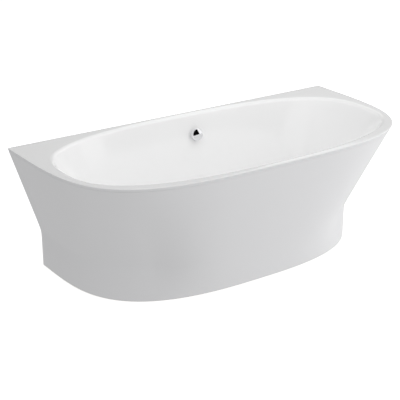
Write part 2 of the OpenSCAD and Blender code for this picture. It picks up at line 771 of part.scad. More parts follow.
module waste_body() {
    gland_end = 37;
    color(white_plastic) at_waste() difference() {
        union() {
            disc(body_r, body_z[0], body_z[1]);
            disc(38, body_z[1] - 6, body_z[1]);
            translate([0, 0, inlet_z]) rotate([-90, 0, 0]) disc(hose_r, 0, 60);
            translate([gland_x, 15, cable_in_z]) rotate([-90, 0, 0]) disc(gland_r, 0, gland_end - 15);
            translate([0, 0, waste_out_z]) rotate([0, -90, 0]) disc(outlet_r, 0, 45);
        }
        disc(cavity_r, body_z[0] + 4, 118);
        disc(collar_r + 0.1, 117, body_z[1] + 1);
        translate([0, 0, inlet_z]) rotate([-90, 0, 0]) disc(hose_bore, 20, 61);
        translate([0, 0, waste_out_z]) rotate([0, -90, 0]) disc(outlet_r - pipe_t, 20, 46);
        translate([-body_r, pin_y, pin_z]) rotate([0, 90, 0]) disc(pin_r, 0, 2 * body_r);
        translate([gland_x, 0, cable_in_z]) rotate([-90, 0, 0]) disc(cable_r, 30, gland_end + 1);
    }
}
// Turn of the lever, in degrees, that lifts the plug
lever_turn = 33;
lever_arm = plug_lift / sin(lever_turn);
lever_w = 6;
lever_crank = 14;
module lift_lever() {
    color(zinc) at_waste() translate([0, pin_y, pin_z]) difference() {
        slab_x(0, lever_w) {
            circle(r = 4.5);
            translate([-lever_arm, -3]) square([lever_arm, 6]);
            translate([-lever_arm, 0]) circle(r = 4.3);
            translate([-2.5, -lever_crank]) square([5, lever_crank]);
            translate([0, -lever_crank]) circle(r = 3.2);
        }
        translate([-10, 0, 0]) rotate([0, 90, 0]) disc(pin_r + 0.06, 0, 20);
        translate([-10, 0, -lever_crank]) rotate([0, 90, 0]) disc(1.2, 0, 20);
    }
}
module lever_pin() {
    color(zinc) at_waste() translate([-pin_half, pin_y, pin_z]) rotate([0, 90, 0]) disc(pin_r, 0, 2 * pin_half);
}

// ---- Trap and outlet, towards the wall ----

trap_x = -130;
trap_r = 35;
trap_out_z = 70;
trap_out_y = 51;
module at_trap() {
    translate([waste_x + trap_x, bowl_y, 0]) children();
}
module trap_inlet_pipe() {
    color(white_plastic) at_waste() translate([0, 0, waste_out_z]) rotate([0, -90, 0])
        tube(outlet_r, outlet_r - pipe_t, 45.2, 81.8);
}
module trap_body() {
    color(white_plastic) at_trap() difference() {
        union() {
            difference() {
                union() {
                    disc(trap_r, 30, 100);
                    translate([0, 0, trap_out_z]) rotate([-90, 0, 0]) disc(outlet_r, 0, trap_out_y);
                    translate([0, 0, waste_out_z]) rotate([0, 90, 0]) disc(outlet_r, 0, 48);
                }
                disc(trap_r - pipe_t, 29, 97);
            }
            translate([0, 0, waste_out_z]) rotate([0, 90, 0]) disc(outlet_r, 0, trap_r - 1);
            disc(outlet_r, 24, 98);
        }
        disc(outlet_r - pipe_t, 23, 96);
        translate([0, 0, waste_out_z]) rotate([0, 90, 0]) disc(outlet_r - pipe_t, 0, 49);
        translate([0, 0, trap_out_z]) rotate([-90, 0, 0]) disc(outlet_r - pipe_t, outlet_r + 2, trap_out_y + 1);
    }
}
cup_ribs = 18;
module trap_cup() {
    color(white_plastic) at_trap() {
        rotate_extrude($fn = 96) polygon([
            [0, 8], [trap_r + 3, 8], [trap_r + 3, 42], [trap_r + 0.2, 42], [trap_r + 0.2, 29],
            [trap_r - pipe_t, 29], [trap_r - pipe_t, 11], [0, 11]]);
        for (i = [0:cup_ribs - 1]) rotate((i + 0.5) * 360 / cup_ribs)
            translate([trap_r + 1.5, -1.5, 10]) cube([3, 3, 28]);
    }
}
nut_r = 27;
nut_len = 20;
module union_nut(z) {
    difference() {
        translate([0, 0, z - nut_len / 2]) cylinder(r = nut_r, h = nut_len, $fn = 24);
        disc(outlet_r + 0.2, z - nut_len, z + nut_len);
    }
}
module union_nuts() {
    color(white_plastic) {
        at_waste() translate([0, 0, waste_out_z]) rotate([0, -90, 0]) {
            union_nut(45);
            union_nut(82);
        }
        at_trap() translate([0, 0, trap_out_z]) rotate([-90, 0, 0]) union_nut(trap_out_y);
    }
}
outlet_end = wall_y - 12;
outlet_free = 60;
module outlet_pipe() {
    color(white_plastic) at_trap() translate([0, -bowl_y, trap_out_z]) rotate([-90, 0, 0]) difference() {
        union() {
            disc(outlet_r, bowl_y + trap_out_y + 0.2, outlet_end);
            disc(outlet_r + 2.5, outlet_end - outlet_free - 4, outlet_end - outlet_free);
        }
        disc(outlet_r - pipe_t, bowl_y + trap_out_y - 1, outlet_end + 1);
    }
}

basin_shell();
skirt_panel();
base_board();
corner_board_left();
corner_board_right();
side_batten_left();
side_batten_right();
rail_front();
rail_rear();
cross_rail_left();
cross_rail_right();
outrigger_left();
outrigger_right();
rim_post_left();
rim_post_right();
wall_bracket_left();
wall_bracket_right();
panel_brackets();
adhesive_pads();
board_screws();
frame_bolts();
bracket_screws();
lock_nuts();
foot_stud_front_left();
foot_stud_front_right();
foot_stud_rear_left();
foot_stud_rear_right();
foot_stud_wall_left();
foot_stud_wall_right();
foot_pad_front_left();
foot_pad_front_right();
foot_pad_rear_left();
foot_pad_rear_right();
foot_pad_wall_left();
foot_pad_wall_right();
overflow_knob();
knob_spindle();
cable_cam();
overflow_insert();
overflow_gasket();
overflow_elbow();
overflow_hose();
bowden_cable();
hose_nuts();
waste_flange();
drain_plug();
plug_seal();
plug_stem();
waste_gasket();
waste_body();
lift_lever();
lever_pin();
trap_inlet_pipe();
trap_body();
trap_cup();
union_nuts();
outlet_pipe();
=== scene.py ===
import json
import math
import bpy
import numpy as np
from mathutils import Matrix, Vector, noise


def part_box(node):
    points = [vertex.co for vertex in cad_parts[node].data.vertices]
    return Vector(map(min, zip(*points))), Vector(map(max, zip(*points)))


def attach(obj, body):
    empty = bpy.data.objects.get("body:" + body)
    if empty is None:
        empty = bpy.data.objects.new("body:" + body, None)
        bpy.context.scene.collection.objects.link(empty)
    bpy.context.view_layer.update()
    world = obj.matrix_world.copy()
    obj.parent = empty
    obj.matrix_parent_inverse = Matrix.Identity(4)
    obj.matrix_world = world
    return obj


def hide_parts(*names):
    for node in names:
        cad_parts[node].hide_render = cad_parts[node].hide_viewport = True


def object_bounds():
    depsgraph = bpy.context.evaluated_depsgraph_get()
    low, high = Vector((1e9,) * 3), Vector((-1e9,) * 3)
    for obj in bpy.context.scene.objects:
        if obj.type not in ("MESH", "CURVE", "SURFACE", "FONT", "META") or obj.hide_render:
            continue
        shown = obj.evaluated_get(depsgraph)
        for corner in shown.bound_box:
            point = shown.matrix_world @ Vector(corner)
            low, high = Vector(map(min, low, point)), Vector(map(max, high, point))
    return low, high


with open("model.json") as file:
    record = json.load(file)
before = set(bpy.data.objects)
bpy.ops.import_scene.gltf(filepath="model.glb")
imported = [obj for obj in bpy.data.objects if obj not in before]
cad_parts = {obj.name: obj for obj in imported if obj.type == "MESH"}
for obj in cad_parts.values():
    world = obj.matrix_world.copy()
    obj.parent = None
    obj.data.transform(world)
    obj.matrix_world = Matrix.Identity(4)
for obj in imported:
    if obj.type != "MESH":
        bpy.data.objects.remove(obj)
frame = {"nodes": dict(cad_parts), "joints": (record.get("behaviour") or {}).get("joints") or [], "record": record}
CAD_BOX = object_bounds()
MM = 0.001
TURN = 2 * math.pi

# ---- Which body and which material slot each CAD node has ----

RECORD = frame["record"]
BODY = {node: body for body, nodes in RECORD["behaviour"]["bodies"].items() for node in nodes}
SLOT = {row["node"]: row["material_slot"] for row in RECORD["subparts"]}
JOINT = {joint["name"]: joint for joint in frame["joints"]}

# ---- Driving sizes of the tub, in metres, with its origin on the floor and +Y towards the wall ----

LOW, HIGH = CAD_BOX
HALF_LENGTH = (HIGH.x - LOW.x) / 2
WALL_Y = HIGH.y
DEPTH = HIGH.y - LOW.y
HEIGHT = HIGH.z

# Exponents of the rim's and the base's outline: along the length, and across the depth
RIM_EXP = (3.6, 4.4)
BASE_EXP = (2.72, 3.77)
BASE_HALF = 717 * MM
BASE_DEPTH = 655 * MM
# The ends flare out above a knee, which fades as the outline's normal turns from the length, in degrees
KNEE_Z = 167 * MM
KNEE_SOFT = 15 * MM
KNEE_FULL, KNEE_NONE = 60, 89
EDGE_ROUND = 3 * MM
EDGE_Z = HEIGHT - EDGE_ROUND

SHELL = 6 * MM
APRON = 5 * MM
LIP_T = 5 * MM
APRON_LOW, APRON_TOP = (corner.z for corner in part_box("skirt_panel"))
LIP_Z = APRON_TOP + 0.3 * MM
FLOOR_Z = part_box("basin_shell")[0].z + SHELL

# The bowl's egg-shaped mouth and floor, about a centre line 385 mm from the wall
BOWL_Y = WALL_Y - 385 * MM
BOWL_HALF, BOWL_FRONT, BOWL_REAR = 788 * MM, 380 * MM, 360 * MM
FLOOR_HALF = 576 * MM
BOWL_EXP = 2.7
WALL_SLOPE = math.radians(15)
RIM_ROUND = 16 * MM
FLOOR_FLAT, FILLET_RISE = 0.74, 0.34


# ---- The outer form and the bowl, as functions of numpy arrays ----

def smooth(x):
    u = np.clip(x, 0, 1)
    return u * u * (3 - 2 * u)


def soft(x):
    return (x + np.sqrt(x * x + KNEE_SOFT ** 2)) / 2


def outline(w, a, b, exps):
    """The D-shaped superellipse at angle w, as length and distance from the wall."""
    along = np.abs(np.cos(w)) ** RIM_EXP[0]
    share = along / (along + np.abs(np.sin(w)) ** RIM_EXP[1])
    return np.sign(np.cos(w)) * a * share ** (1 / exps[0]), b * (1 - share) ** (1 / exps[1])


def rise(w, z):
    """Share of the way from the base's outline to the rim's, with a knee at the two ends."""
    x, y = outline(w, 1, 1, RIM_EXP)
    normal = np.degrees(np.arctan2(RIM_EXP[1] / DEPTH * y ** (RIM_EXP[1] - 1),
                                   RIM_EXP[0] / HALF_LENGTH * np.abs(x) ** (RIM_EXP[0] - 1)))
    plain = smooth((normal - KNEE_FULL) / (KNEE_NONE - KNEE_FULL))
    h = min(z, EDGE_Z)
    kneed = (soft(h - KNEE_Z) - soft(-KNEE_Z)) / (soft(EDGE_Z - KNEE_Z) - soft(-KNEE_Z))
    return (1 - plain) * kneed + plain * h / EDGE_Z


def form(w, z, inset=0.0):
    """Points of the outer form at angles w and height z, moved inwards by inset."""
    x_low, y_low = outline(w, BASE_HALF - inset, BASE_DEPTH - inset, BASE_EXP)
    x_high, y_high = outline(w, HALF_LENGTH - inset, DEPTH - inset, RIM_EXP)
    share = rise(w, z)
    y = WALL_Y - np.maximum(inset, y_low + share * (y_high - y_low))
    return np.stack([x_low + share * (x_high - x_low), y, np.full_like(w, z)], -1)


def egg(phi, a, front, rear):
    """Radius of an egg-shaped outline about the bowl's centre, in direction phi."""
    reach = np.where(np.sin(phi) < 0, front, rear)
    return ((np.abs(np.cos(phi)) / a) ** BOWL_EXP
            + (np.abs(np.sin(phi)) / reach) ** BOWL_EXP) ** (-1 / BOWL_EXP)


def bezier(a, b, c, u):
    return (1 - u) ** 2 * a + 2 * u * (1 - u) * b + u * u * c


def bowl_profile(phi, grow, drop, steps):
    """Rows of radius and height from the floor's centre to the deck, lowered by drop."""
    lean = (HEIGHT - FLOOR_Z) * math.tan(WALL_SLOPE)
    foot = egg(phi, FLOOR_HALF, BOWL_FRONT - lean, BOWL_REAR - lean) + grow
    mouth = egg(phi, BOWL_HALF, BOWL_FRONT, BOWL_REAR) + grow

    def at(radius, height):
        return np.stack([radius, np.full_like(radius, height - drop)], -1)

    flat, corner, lip = at(foot * FLOOR_FLAT, FLOOR_Z), at(foot, FLOOR_Z), at(mouth, HEIGHT)
    round_r = RIM_ROUND - drop
    spring = corner + FILLET_RISE * (lip - corner)
    brow = corner + (1 - round_r / (HEIGHT - FLOOR_Z)) * (lip - corner)
    deck = at(mouth + round_r, HEIGHT)
    floor, fillet, wall, rounding = steps
    rows = [at(foot * FLOOR_FLAT * u, FLOOR_Z) for u in np.linspace(0.04, 1, floor, endpoint=False)]
    rows += [bezier(flat, corner, spring, u) for u in np.linspace(0, 1, fillet, endpoint=False)]
    rows += [spring + u * (brow - spring) for u in np.linspace(0, 1, wall, endpoint=False)]
    rows += [bezier(brow, lip, deck, u) for u in np.linspace(0, 1, rounding)]
    return rows


def around(profile, phi):
    radius, height = profile[:, 0], profile[:, 1]
    return np.stack([radius * np.cos(phi), BOWL_Y + radius * np.sin(phi), height], -1)


# ---- Places that several pieces share ----

def middle(node):
    low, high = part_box(node)
    return (low + high) / 2


def frame_at(origin, z_axis, x_axis):
    """Matrix of a place with the given origin, +Z and +X directions."""
    z = Vector(z_axis).normalized()
    x = Vector(x_axis).normalized()
    return Matrix.Translation(origin) @ Matrix((x, z.cross(x), z)).transposed().to_4x4()


# On the rear wall at the overflow, +Z into the bowl; and over the waste, +Z up
OVERFLOW = frame_at(JOINT["knob_turn"]["pos_m"], JOINT["knob_turn"]["axis"], (1, 0, 0))
WASTE_X = middle("waste_flange").x
WASTE = Matrix.Translation((WASTE_X, BOWL_Y, 0))
TRAP = Matrix.Translation((middle("trap_cup").x, BOWL_Y, 0))


# ---- Mesh building ----

# Edges of more than this many degrees stay sharp, unless a piece says otherwise
PLAIN_SHARP = 32


def lattice(rows, columns, wrap_rows=False, wrap_columns=False):
    """Quads of a lattice of points, row after row."""
    return [(i * columns + j, i * columns + (j + 1) % columns,
             (i + 1) % rows * columns + (j + 1) % columns, (i + 1) % rows * columns + j)
            for i in range(rows if wrap_rows else rows - 1)
            for j in range(columns if wrap_columns else columns - 1)]


def lathe(profile, steps=96, shape=None, closed=False):
    """Turns a profile of radius and height about +Z; shape(r, z, angle) may vary the radius.
    The profile runs upwards on its outer side. A point of radius 0 is a pole."""
    verts, rings = [], []
    for r, z in profile:
        if r < 1e-7:
            rings.append([len(verts)] * steps)
            verts.append((0, 0, z))
            continue
        rings.append(list(range(len(verts), len(verts) + steps)))
        for k in range(steps):
            a = TURN * k / steps
            radius = shape(r, z, a) if shape else r
            verts.append((radius * math.cos(a), radius * math.sin(a), z))
    faces = []
    for low, high in zip(rings, rings[1:] + rings[:1] if closed else rings[1:]):
        for k in range(steps):
            corners = [low[k], low[(k + 1) % steps], high[(k + 1) % steps], high[k]]
            face = [v for i, v in enumerate(corners) if v not in corners[:i]]
            if len(face) > 2:
                faces.append(face)
    return verts, faces


def moved(shape, matrix):
    verts, faces = shape
    return [matrix @ Vector(v) for v in verts], faces


def joined(shapes):
    """Several shapes as one."""
    verts, faces = [], []
    for more_verts, more_faces in shapes:
        start = len(verts)
        verts += list(more_verts)
        faces += [[v + start for v in face] for face in more_faces]
    return verts, faces


def arc(centre, radius, start, end, steps):
    """Points of an arc in a profile; angles in degrees, 0 outwards and 90 up."""
    return [(centre[0] + radius * math.cos(math.radians(a)), centre[1] + radius * math.sin(math.radians(a)))
            for a in np.linspace(start, end, steps)]


def as_object(name, shape):
    verts, faces = shape
    mesh = bpy.data.meshes.new(name)
    mesh.from_pydata([tuple(map(float, v)) for v in verts], [], [tuple(face) for face in faces])
    mesh.validate()
    thing = bpy.data.objects.new(name, mesh)
    bpy.context.scene.collection.objects.link(thing)
    return thing


def bake(piece):
    """Turns a piece's modifiers into mesh."""
    bpy.context.view_layer.update()
    evaluated = piece.evaluated_get(bpy.context.evaluated_depsgraph_get())
    mesh = bpy.data.meshes.new_from_object(evaluated)
    piece.modifiers.clear()
    piece.data = mesh


def shade_smooth(piece, sharp):
    """Smooth shading, but not across edges of more than the given degrees."""
    piece.data.polygons.foreach_set("use_smooth", [True] * len(piece.data.polygons))
    piece.data.set_sharp_from_angle(angle=math.radians(sharp))


def finish_piece(piece, materials, nodes, sharp=PLAIN_SHARP, material_of_face=None):
    """Gives a piece its materials, its smooth shading and its body, and hides the nodes it stands for."""
    mesh = piece.data
    mesh.materials.clear()
    for material in materials:
        mesh.materials.append(material)
    if material_of_face is not None:
        mesh.polygons.foreach_set("material_index", material_of_face)
    shade_smooth(piece, sharp)
    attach(piece, BODY[nodes[0]])
    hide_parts(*nodes)
    return piece


def add_piece(name, shape, material, *nodes, sharp=PLAIN_SHARP):
    return finish_piece(as_object(name, shape), [material], nodes, sharp)


def add_detail(name, shape, material, like):
    """A piece that stands for no CAD node: it rides with a node's body."""
    piece = as_object(name, shape)
    piece.data.materials.append(material)
    shade_smooth(piece, PLAIN_SHARP)
    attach(piece, BODY[like])


def softened(name, node, material, width, segments=3, angle=40):
    """A copy of a CAD node's mesh with its edges rounded over, which stands for the node."""
    piece = bpy.data.objects.new(name, frame["nodes"][node].data.copy())
    bpy.context.scene.collection.objects.link(piece)
    weld = piece.modifiers.new("weld", "WELD")
    weld.merge_threshold = 0.02 * MM
    bevel = piece.modifiers.new("bevel", "BEVEL")
    bevel.width = width
    bevel.segments = segments
    bevel.limit_method = "ANGLE"
    bevel.angle_limit = math.radians(angle)
    bevel.use_clamp_overlap = True
    bake(piece)
    finish_piece(piece, [material], [node])


def cut_round(piece, matrix, radius, low, high):
    """Cuts a round hole along a place's Z axis, from low to high."""
    rod = lathe([(0, low), (radius, low), (radius, high), (0, high)], 64)
    cutter = as_object("cutter", moved(rod, matrix))
    cut = piece.modifiers.new("cut", "BOOLEAN")
    cut.operation = "DIFFERENCE"
    cut.solver = "EXACT"
    cut.object = cutter
    bake(piece)
    bpy.data.objects.remove(cutter)


# ---- Materials ----

def maths(tree, operation, a, b):
    """A Math node on two values, each a number or another node's output."""
    node = tree.nodes.new("ShaderNodeMath")
    node.operation = operation
    for socket, value in zip(node.inputs, (a, b)):
        if isinstance(value, (int, float)):
            socket.default_value = value
        else:
            tree.links.new(value, socket)
    return node.outputs["Value"]


class Paint:
    """A node material: its shader, and the few steps that the materials below share."""

    def __init__(self, name, **constants):
        self.material = bpy.data.materials.new(name)
        self.material.use_nodes = True
        self.tree = self.material.node_tree
        self.shader = self.tree.nodes["Principled BSDF"]
        self.place = self.add("TexCoord").outputs["Object"]
        for socket, value in constants.items():
            self.shader.inputs[socket.replace("_", " ")].default_value = value

    def add(self, kind, links=None, **settings):
        node = self.tree.nodes.new("ShaderNode" + kind)
        for key, value in settings.items():
            if hasattr(node, key):
                setattr(node, key, value)
            else:
                node.inputs[key.replace("_", " ")].default_value = value
        for socket, source in (links or {}).items():
            self.tree.links.new(source, node.inputs[socket])
        return node

    def where(self, scale=(1, 1, 1), turn=(0, 0, 0)):
        return self.add("Mapping", {"Vector": self.place}, Scale=scale, Rotation=turn).outputs["Vector"]

    def clouds(self, size, detail, distortion=0.0, where=None):
        """Soft noise whose lumps are about size metres across."""
        node = self.add("TexNoise", {"Vector": where or self.place}, Scale=1 / size, Detail=detail,
                        Distortion=distortion)
        return node.outputs["Fac"]

    def cells(self, size, where=None, output="Color"):
        """Cells of about size metres: a random colour each, or the distance from their middle."""
        node = self.add("TexVoronoi", {"Vector": where or self.place}, Scale=1 / size)
        return node.outputs[output]

    def ramp(self, value, low, high, start=0.3, end=0.7):
        node = self.add("MapRange", {"Value": value})
        for socket, number in (("From Min", start), ("From Max", end), ("To Min", low), ("To Max", high)):
            node.inputs[socket].default_value = number
        return node.outputs["Result"]

    def blend(self, factor, a, b):
        """Mixes two colours, each a value or another step's colour."""
        node = self.add("Mix", {"Factor": factor}, data_type="RGBA")
        for socket, colour in (("A", a), ("B", b)):
            target = next(i for i in node.inputs if i.name == socket and i.type == "RGBA")
            if isinstance(colour, tuple):
                target.default_value = (*colour, 1)
            else:
                self.tree.links.new(colour, target)
        return next(o for o in node.outputs if o.type == "RGBA")

    def maths(self, operation, a, b):
        return maths(self.tree, operation, a, b)

    def set(self, socket, source):
        self.tree.links.new(source, self.shader.inputs[socket])

    def bump(self, height, depth, strength):
        relief = self.add("Bump", {"Height": height}, Strength=strength, Distance=depth)
        self.set("Normal", relief.outputs["Normal"])


def gloss_acrylic(name, pale, deep, polish, coat, painted_deck_shade=None):
    """Cast sanitary acrylic: near-white, glossy, with a faint orange peel and wiping marks.

    With a painted deck shade, the sheet is painted a shade duller from the bowl's top rounding upwards: painted
    shade on a sheet of one colour."""
    paint = Paint(name, IOR=1.49, Coat_Weight=coat, Coat_Roughness=0.03)
    colour = paint.blend(paint.clouds(0.35, 3), pale, deep)
    if painted_deck_shade:
        # Painted shade: the deck and the top of the bowl's rounding are painted a duller white than the bowl.
        height = paint.add("SeparateXYZ", {"Vector": paint.place}).outputs["Z"]
        colour = paint.blend(paint.ramp(height, 0, 1, HEIGHT - 9 * MM, HEIGHT - 1 * MM), colour, painted_deck_shade)
    paint.set("Base Color", colour)
    wiped = paint.clouds(0.12, 6, 0.6, paint.where((1, 1, 2.5)))
    paint.set("Roughness", paint.ramp(wiped, polish, polish + 0.05))
    paint.bump(paint.clouds(0.011, 2), 0.00004, 0.35)
    return paint.material


def fibreglass():
    """The hidden side: sprayed resin over chopped strands."""
    paint = Paint("fibreglass", IOR=1.5)
    strands = None
    for size, turn in ((0.0016, 0.3), (0.0018, 1.4), (0.0015, 2.5)):
        streaks = paint.clouds(size, 2, 1.2, paint.where((1, 0.09, 0.6), (turn, turn, turn)))
        strands = paint.maths("MAXIMUM", strands, streaks) if strands else streaks
    resin = paint.blend(paint.clouds(0.16, 5), (0.66, 0.61, 0.44), (0.80, 0.77, 0.64))
    paint.set("Base Color", paint.blend(paint.ramp(strands, 0, 1, 0.5, 0.72), resin, (0.88, 0.87, 0.79)))
    paint.set("Roughness", paint.ramp(strands, 0.28, 0.55))
    paint.bump(paint.maths("ADD", strands, paint.clouds(0.02, 4)), 0.0007, 0.6)
    return paint.material


def chipboard():
    """Pressed wood flakes in several browns, sanded and sealed."""
    paint = Paint("chipboard", IOR=1.5)
    flakes = paint.cells(0.0042, paint.where((1, 0.6, 1.5), (0.4, 0.2, 0.8)))
    tone = paint.add("SeparateColor", {"Color": flakes}).outputs["Red"]
    light = paint.blend(tone, (0.46, 0.31, 0.17), (0.74, 0.58, 0.38))
    pores = paint.ramp(paint.clouds(0.0016, 3), 0, 0.6)
    paint.set("Base Color", paint.blend(pores, light, (0.30, 0.19, 0.10)))
    paint.set("Roughness", paint.ramp(tone, 0.55, 0.8, 0, 1))
    paint.bump(paint.maths("ADD", tone, paint.clouds(0.001, 4)), 0.00018, 0.5)
    return paint.material


def softwood():
    """Planed spruce: growth rings drawn out along the batten, with fine fibres."""
    paint = Paint("softwood", IOR=1.5)
    along = paint.where((1, 1, 0.06), (0.02, 0.03, 0))
    rings = paint.add("TexWave", {"Vector": along}, wave_type="RINGS", rings_direction="Z",
                      Scale=70.0, Distortion=6.0, Detail=3.0, Detail_Scale=1.5).outputs["Fac"]
    fibres = paint.clouds(0.0012, 4, 0.2, along)
    grain = paint.blend(rings, (0.78, 0.60, 0.37), (0.58, 0.38, 0.19))
    paint.set("Base Color", paint.blend(paint.ramp(fibres, 0, 0.5), grain, (0.86, 0.71, 0.48)))
    paint.set("Roughness", paint.ramp(fibres, 0.5, 0.72))
    paint.bump(paint.maths("ADD", rings, fibres), 0.00012, 0.4)
    return paint.material


def galvanised():
    """Hot-dip zinc: crystals of different brightness, with dull streaks."""
    paint = Paint("galvanised", Metallic=1.0)
    spangle = paint.add("SeparateColor", {"Color": paint.cells(0.009)}).outputs["Green"]
    streaks = paint.clouds(0.02, 5, 0.5, paint.where((0.4, 1, 1)))
    mottled = paint.blend(spangle, (0.50, 0.51, 0.53), (0.72, 0.73, 0.75))
    paint.set("Base Color", paint.blend(paint.ramp(streaks, 0, 0.5), mottled, (0.42, 0.43, 0.44)))
    paint.set("Roughness", paint.ramp(paint.maths("ADD", spangle, streaks), 0.28, 0.52, 0.3, 1.6))
    paint.bump(paint.maths("ADD", paint.cells(0.009, output="Distance"), streaks), 0.00008, 0.3)
    return paint.material


def bright_zinc():
    """Zinc-plated fasteners with a faint yellow passivation."""
    paint = Paint("bright_zinc", Metallic=1.0)
    film = paint.clouds(0.008, 4, 0.8)
    paint.set("Base Color", paint.blend(paint.ramp(film, 0, 1), (0.72, 0.73, 0.76), (0.74, 0.70, 0.58)))
    paint.set("Roughness", paint.ramp(paint.clouds(0.0012, 5), 0.18, 0.36))
    paint.bump(paint.clouds(0.0006, 3), 0.00003, 0.3)
    return paint.material


def polished_chrome():
    """Chrome plating with barely visible water marks."""
    paint = Paint("polished_chrome", Metallic=1.0)
    marks = paint.clouds(0.006, 5, 0.5)
    paint.set("Base Color", paint.blend(marks, (0.83, 0.84, 0.86), (0.90, 0.90, 0.91)))
    paint.set("Roughness", paint.ramp(marks, 0.02, 0.06))
    paint.bump(paint.clouds(0.02, 2), 0.00001, 0.3)
    return paint.material


def moulded_plastic(name, pale, deep, low, high, grain=0.0007, depth=0.00006):
    """Injection-moulded plastic with a fine spark-eroded texture and flow marks."""
    paint = Paint(name, IOR=1.49)
    paint.set("Base Color", paint.blend(paint.clouds(0.02, 4, 0.8), pale, deep))
    texture = paint.clouds(grain, 3)
    paint.set("Roughness", paint.ramp(texture, low, high))
    paint.bump(texture, depth, 0.6)
    return paint.material


def cured_adhesive():
    """Squeezed-out elastic adhesive with dust on it."""
    paint = Paint("cured_adhesive", IOR=1.45)
    paint.set("Base Color", paint.blend(paint.clouds(0.01, 6), (0.58, 0.58, 0.55), (0.78, 0.78, 0.75)))
    paint.set("Roughness", paint.ramp(paint.clouds(0.002, 4), 0.4, 0.65))
    paint.bump(paint.clouds(0.004, 3), 0.0005, 0.5)
    return paint.material


# The last colour is the painted deck shade: a duller white painted on the deck than on the bowl.
ACRYLIC = gloss_acrylic("acrylic", (0.92, 0.92, 0.92), (0.94, 0.94, 0.94), 0.06, 0.25, (0.78, 0.78, 0.78))
# A darker copy of the same white acrylic: painted shade on the apron and on the rim's lip.
SHADED_APRON_ACRYLIC = gloss_acrylic("apron_acrylic", (0.76, 0.76, 0.77), (0.79, 0.79, 0.80), 0.31, 0.0)
FIBREGLASS = fibreglass()
CHIPBOARD = chipboard()
SOFTWOOD = softwood()
GALVANISED = galvanised()
ZINC = bright_zinc()
CHROME = polished_chrome()
KIT_PLASTIC = moulded_plastic("kit_plastic", (0.72, 0.72, 0.70), (0.80, 0.80, 0.78), 0.3, 0.45)
HOSE_PLASTIC = moulded_plastic("hose_plastic", (0.60, 0.60, 0.58), (0.70, 0.70, 0.68), 0.35, 0.5)
FOOT_PLASTIC = moulded_plastic("foot_plastic", (0.020, 0.020, 0.022), (0.036, 0.036, 0.040), 0.45, 0.62)
SHEATH = moulded_plastic("cable_sheath", (0.018, 0.018, 0.020), (0.030, 0.030, 0.034), 0.35, 0.5, 0.0004)
RUBBER = moulded_plastic("seal_rubber", (0.014, 0.014, 0.014), (0.028, 0.027, 0.026), 0.65, 0.85,
                         0.0005, 0.0001)
ADHESIVE = cured_adhesive()
FINISH = {
    "acrylic": ACRYLIC, "apron_acrylic": SHADED_APRON_ACRYLIC, "board": CHIPBOARD, "batten_wood": SOFTWOOD,
    "frame_steel": GALVANISED, "adhesive": ADHESIVE, "zinc_fastener": ZINC, "foot_plastic": FOOT_PLASTIC,
    "chrome": CHROME, "seal_rubber": RUBBER, "kit_plastic": KIT_PLASTIC, "hose_plastic": HOSE_PLASTIC,
    "cable_sheath": SHEATH,
}


def dress_cad_nodes():
    """Every CAD node takes the material of its slot, whether or not a piece replaces it later."""
    for node, thing in frame["nodes"].items():
        thing.data.materials.clear()
        thing.data.materials.append(FINISH[SLOT[node]])


# ---- The tub's shell ----

FRONT_STEPS, REAR_STEPS, CORNER_STEPS = 220, 110, 6
# Steps over the bowl's floor, fillet, wall and top rounding
BOWL_STEPS = (10, 22, 20, 12)
UNDERSIDE_STEPS = (14, 26, 30, 6)
CORNER_R, CORNER_LEAST = 3 * MM, 0.3 * MM
# The angle at which the D-shaped front leaves the rear corners
FIRST_W = math.radians(0.9)
# Lumps of the hand-laid laminate: how many a metre, and how high
LUMPS = ((38, 0.5 * MM), (150, 0.2 * MM))
OVERFLOW_HOLE_R = 26 * MM
DRAIN_HOLE_R = 26.5 * MM


def rim_ring(z, inset):
    """The rim's whole outline: the D-shaped front, the left corner, the rear edge, the right corner."""
    front = form(np.linspace(FIRST_W, math.pi - FIRST_W, FRONT_STEPS), z, inset)
    end_x = form(np.array([0.0]), z, inset)[0, 0]
    back_y = WALL_Y - inset
    r = max(CORNER_R - inset, CORNER_LEAST)
    turn = np.linspace(0, math.pi / 2, CORNER_STEPS)
    level = np.full(CORNER_STEPS, z)
    left = np.stack([-(end_x - r + r * np.cos(turn)), back_y - r + r * np.sin(turn), level], -1)
    right = left[::-1] * (-1, 1, 1)
    reach = math.atan2(back_y - BOWL_Y, end_x - r)
    phi = np.linspace(math.pi - reach, reach, REAR_STEPS + 2)[1:-1]
    rear_x = (back_y - BOWL_Y) / np.tan(phi)
    rear = np.stack([rear_x, np.full(REAR_STEPS, back_y), np.full(REAR_STEPS, z)], -1)
    return np.concatenate([front, left, rear, right])


def laid_up(point):
    """A point of the underside, pushed about a little as hand-laid laminate is."""
    lump = sum(noise.noise(Vector(point) * density) * height for density, height in LUMPS)
    return point[0], point[1], min(point[2] + lump, HEIGHT - SHELL)


